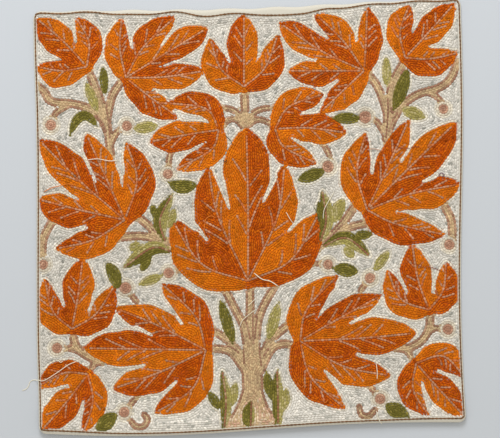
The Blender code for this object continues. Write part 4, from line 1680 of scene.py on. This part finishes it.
tubes = []
for colour, thick, spots in THREADS:
    flat = curve_through(drawn(spots), STEPS_EACH * len(spots))
    radius = thick * MM / 2
    z = read_paper(face_height, flat[:, 0], flat[:, 1]) + radius + THREAD_CLEAR
    z = z + THREAD_ARCH * np.sin(np.linspace(0, math.pi, len(z)))
    off = smooth(read_paper(miss, flat[:, 0], flat[:, 1]) / FALL_REACH)
    z = z * (1 - off) + radius * off
    tubes.append(thread_tube(np.column_stack([flat, z]), radius, linear(THREAD_COLOURS[colour])))
offset = np.cumsum([0] + [len(tube[0]) for tube in tubes])
thread_points = np.concatenate([tube[0] for tube in tubes])
thread_faces = np.concatenate([tube[1] + shift for tube, shift in zip(tubes, offset)])
threads = new_piece("loose_threads", thread_points, thread_faces,
                    np.concatenate([tube[2] for tube in tubes]), [THREAD_WOOL])
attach(threads, "root")
print(len(tubes), "loose threads,", len(thread_faces), "triangles")

# %% [markdown]
# ## Floor, light and camera
#
# The panel lies on a pale table. The light is soft and comes from beyond its top edge, so the
# rows show as fine shading and the lifted lower edge throws a soft shadow below it.

# %% Floor
FLOOR_HALF = 3.0
FLOOR_COLOUR = (*linear((192, 196, 203)), 1)
FLOOR_ROUGHNESS = 0.7
floor_mesh = bpy.data.meshes.new("pale_floor")
corners = [(-1, -1), (1, -1), (1, 1), (-1, 1)]
floor_mesh.from_pydata([(x * FLOOR_HALF, y * FLOOR_HALF, 0) for x, y in corners],
                       [], [(0, 1, 2, 3)])
floor = bpy.data.objects.new("pale_floor", floor_mesh)
bpy.context.scene.collection.objects.link(floor)
floor_item, _, _, shader = new_material("pale floor")
set_values(shader, {"Base Color": FLOOR_COLOUR, "Roughness": FLOOR_ROUGHNESS})
floor_mesh.materials.append(floor_item)
floor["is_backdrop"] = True
print("floor", 2 * FLOOR_HALF, "m across")

# %% Lights
SKY = {"Color": (1.0, 0.98, 0.90, 1), "Strength": 0.74}
WINDOW_SPOT = (-0.18, 1.75, 1.34)
WINDOW_WIDE = 1.0
WINDOW_POWER = 35.0
WINDOW_COLOUR = (0.94, 0.97, 1.0)
world = bpy.data.worlds.new("studio")
world.use_nodes = True
set_values(world.node_tree.nodes["Background"], SKY)
bpy.context.scene.world = world
bpy.context.scene.view_settings.view_transform = "Standard"


def soft_light(name, spot, aim, size, power, colour):
    """A square area light at a spot, turned to face its aim."""
    data = bpy.data.lights.new(name, "AREA")
    data.size = size
    data.energy = power
    data.color = colour
    light = bpy.data.objects.new(name, data)
    bpy.context.scene.collection.objects.link(light)
    light.location = spot
    away = np.array(aim, dtype=float) - np.array(spot, dtype=float)
    flat = math.hypot(away[0], away[1])
    light.rotation_euler = (math.atan2(flat, -away[2]), 0, math.atan2(-away[0], away[1]))


soft_light("window_light", WINDOW_SPOT, (0, 0, 0), WINDOW_WIDE, WINDOW_POWER, WINDOW_COLOUR)
print("light of", WINDOW_POWER, "watts at", WINDOW_SPOT)

# %% Camera
CAMERA_HIGH = 1.8
CAMERA_X, CAMERA_Y = -0.1 * MM, -0.75 * MM
FIELD = 536.4 * MM
SENSOR = 36
camera_data = bpy.data.cameras.new("camera")
camera_data.sensor_width = SENSOR
camera_data.lens = SENSOR * CAMERA_HIGH / FIELD
camera = bpy.data.objects.new("camera", camera_data)
camera.location = (CAMERA_X, CAMERA_Y, CAMERA_HIGH)
camera.rotation_euler = (0, 0, -PANEL_TURN)
bpy.context.scene.collection.objects.link(camera)
bpy.context.scene.camera = camera

print("lens of", round(camera_data.lens, 1), "mm")

# %% Measure and finish
low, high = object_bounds()
print("dressed part spans", [round((b - a) * 1000, 1) for a, b in zip(low, high)], "mm")
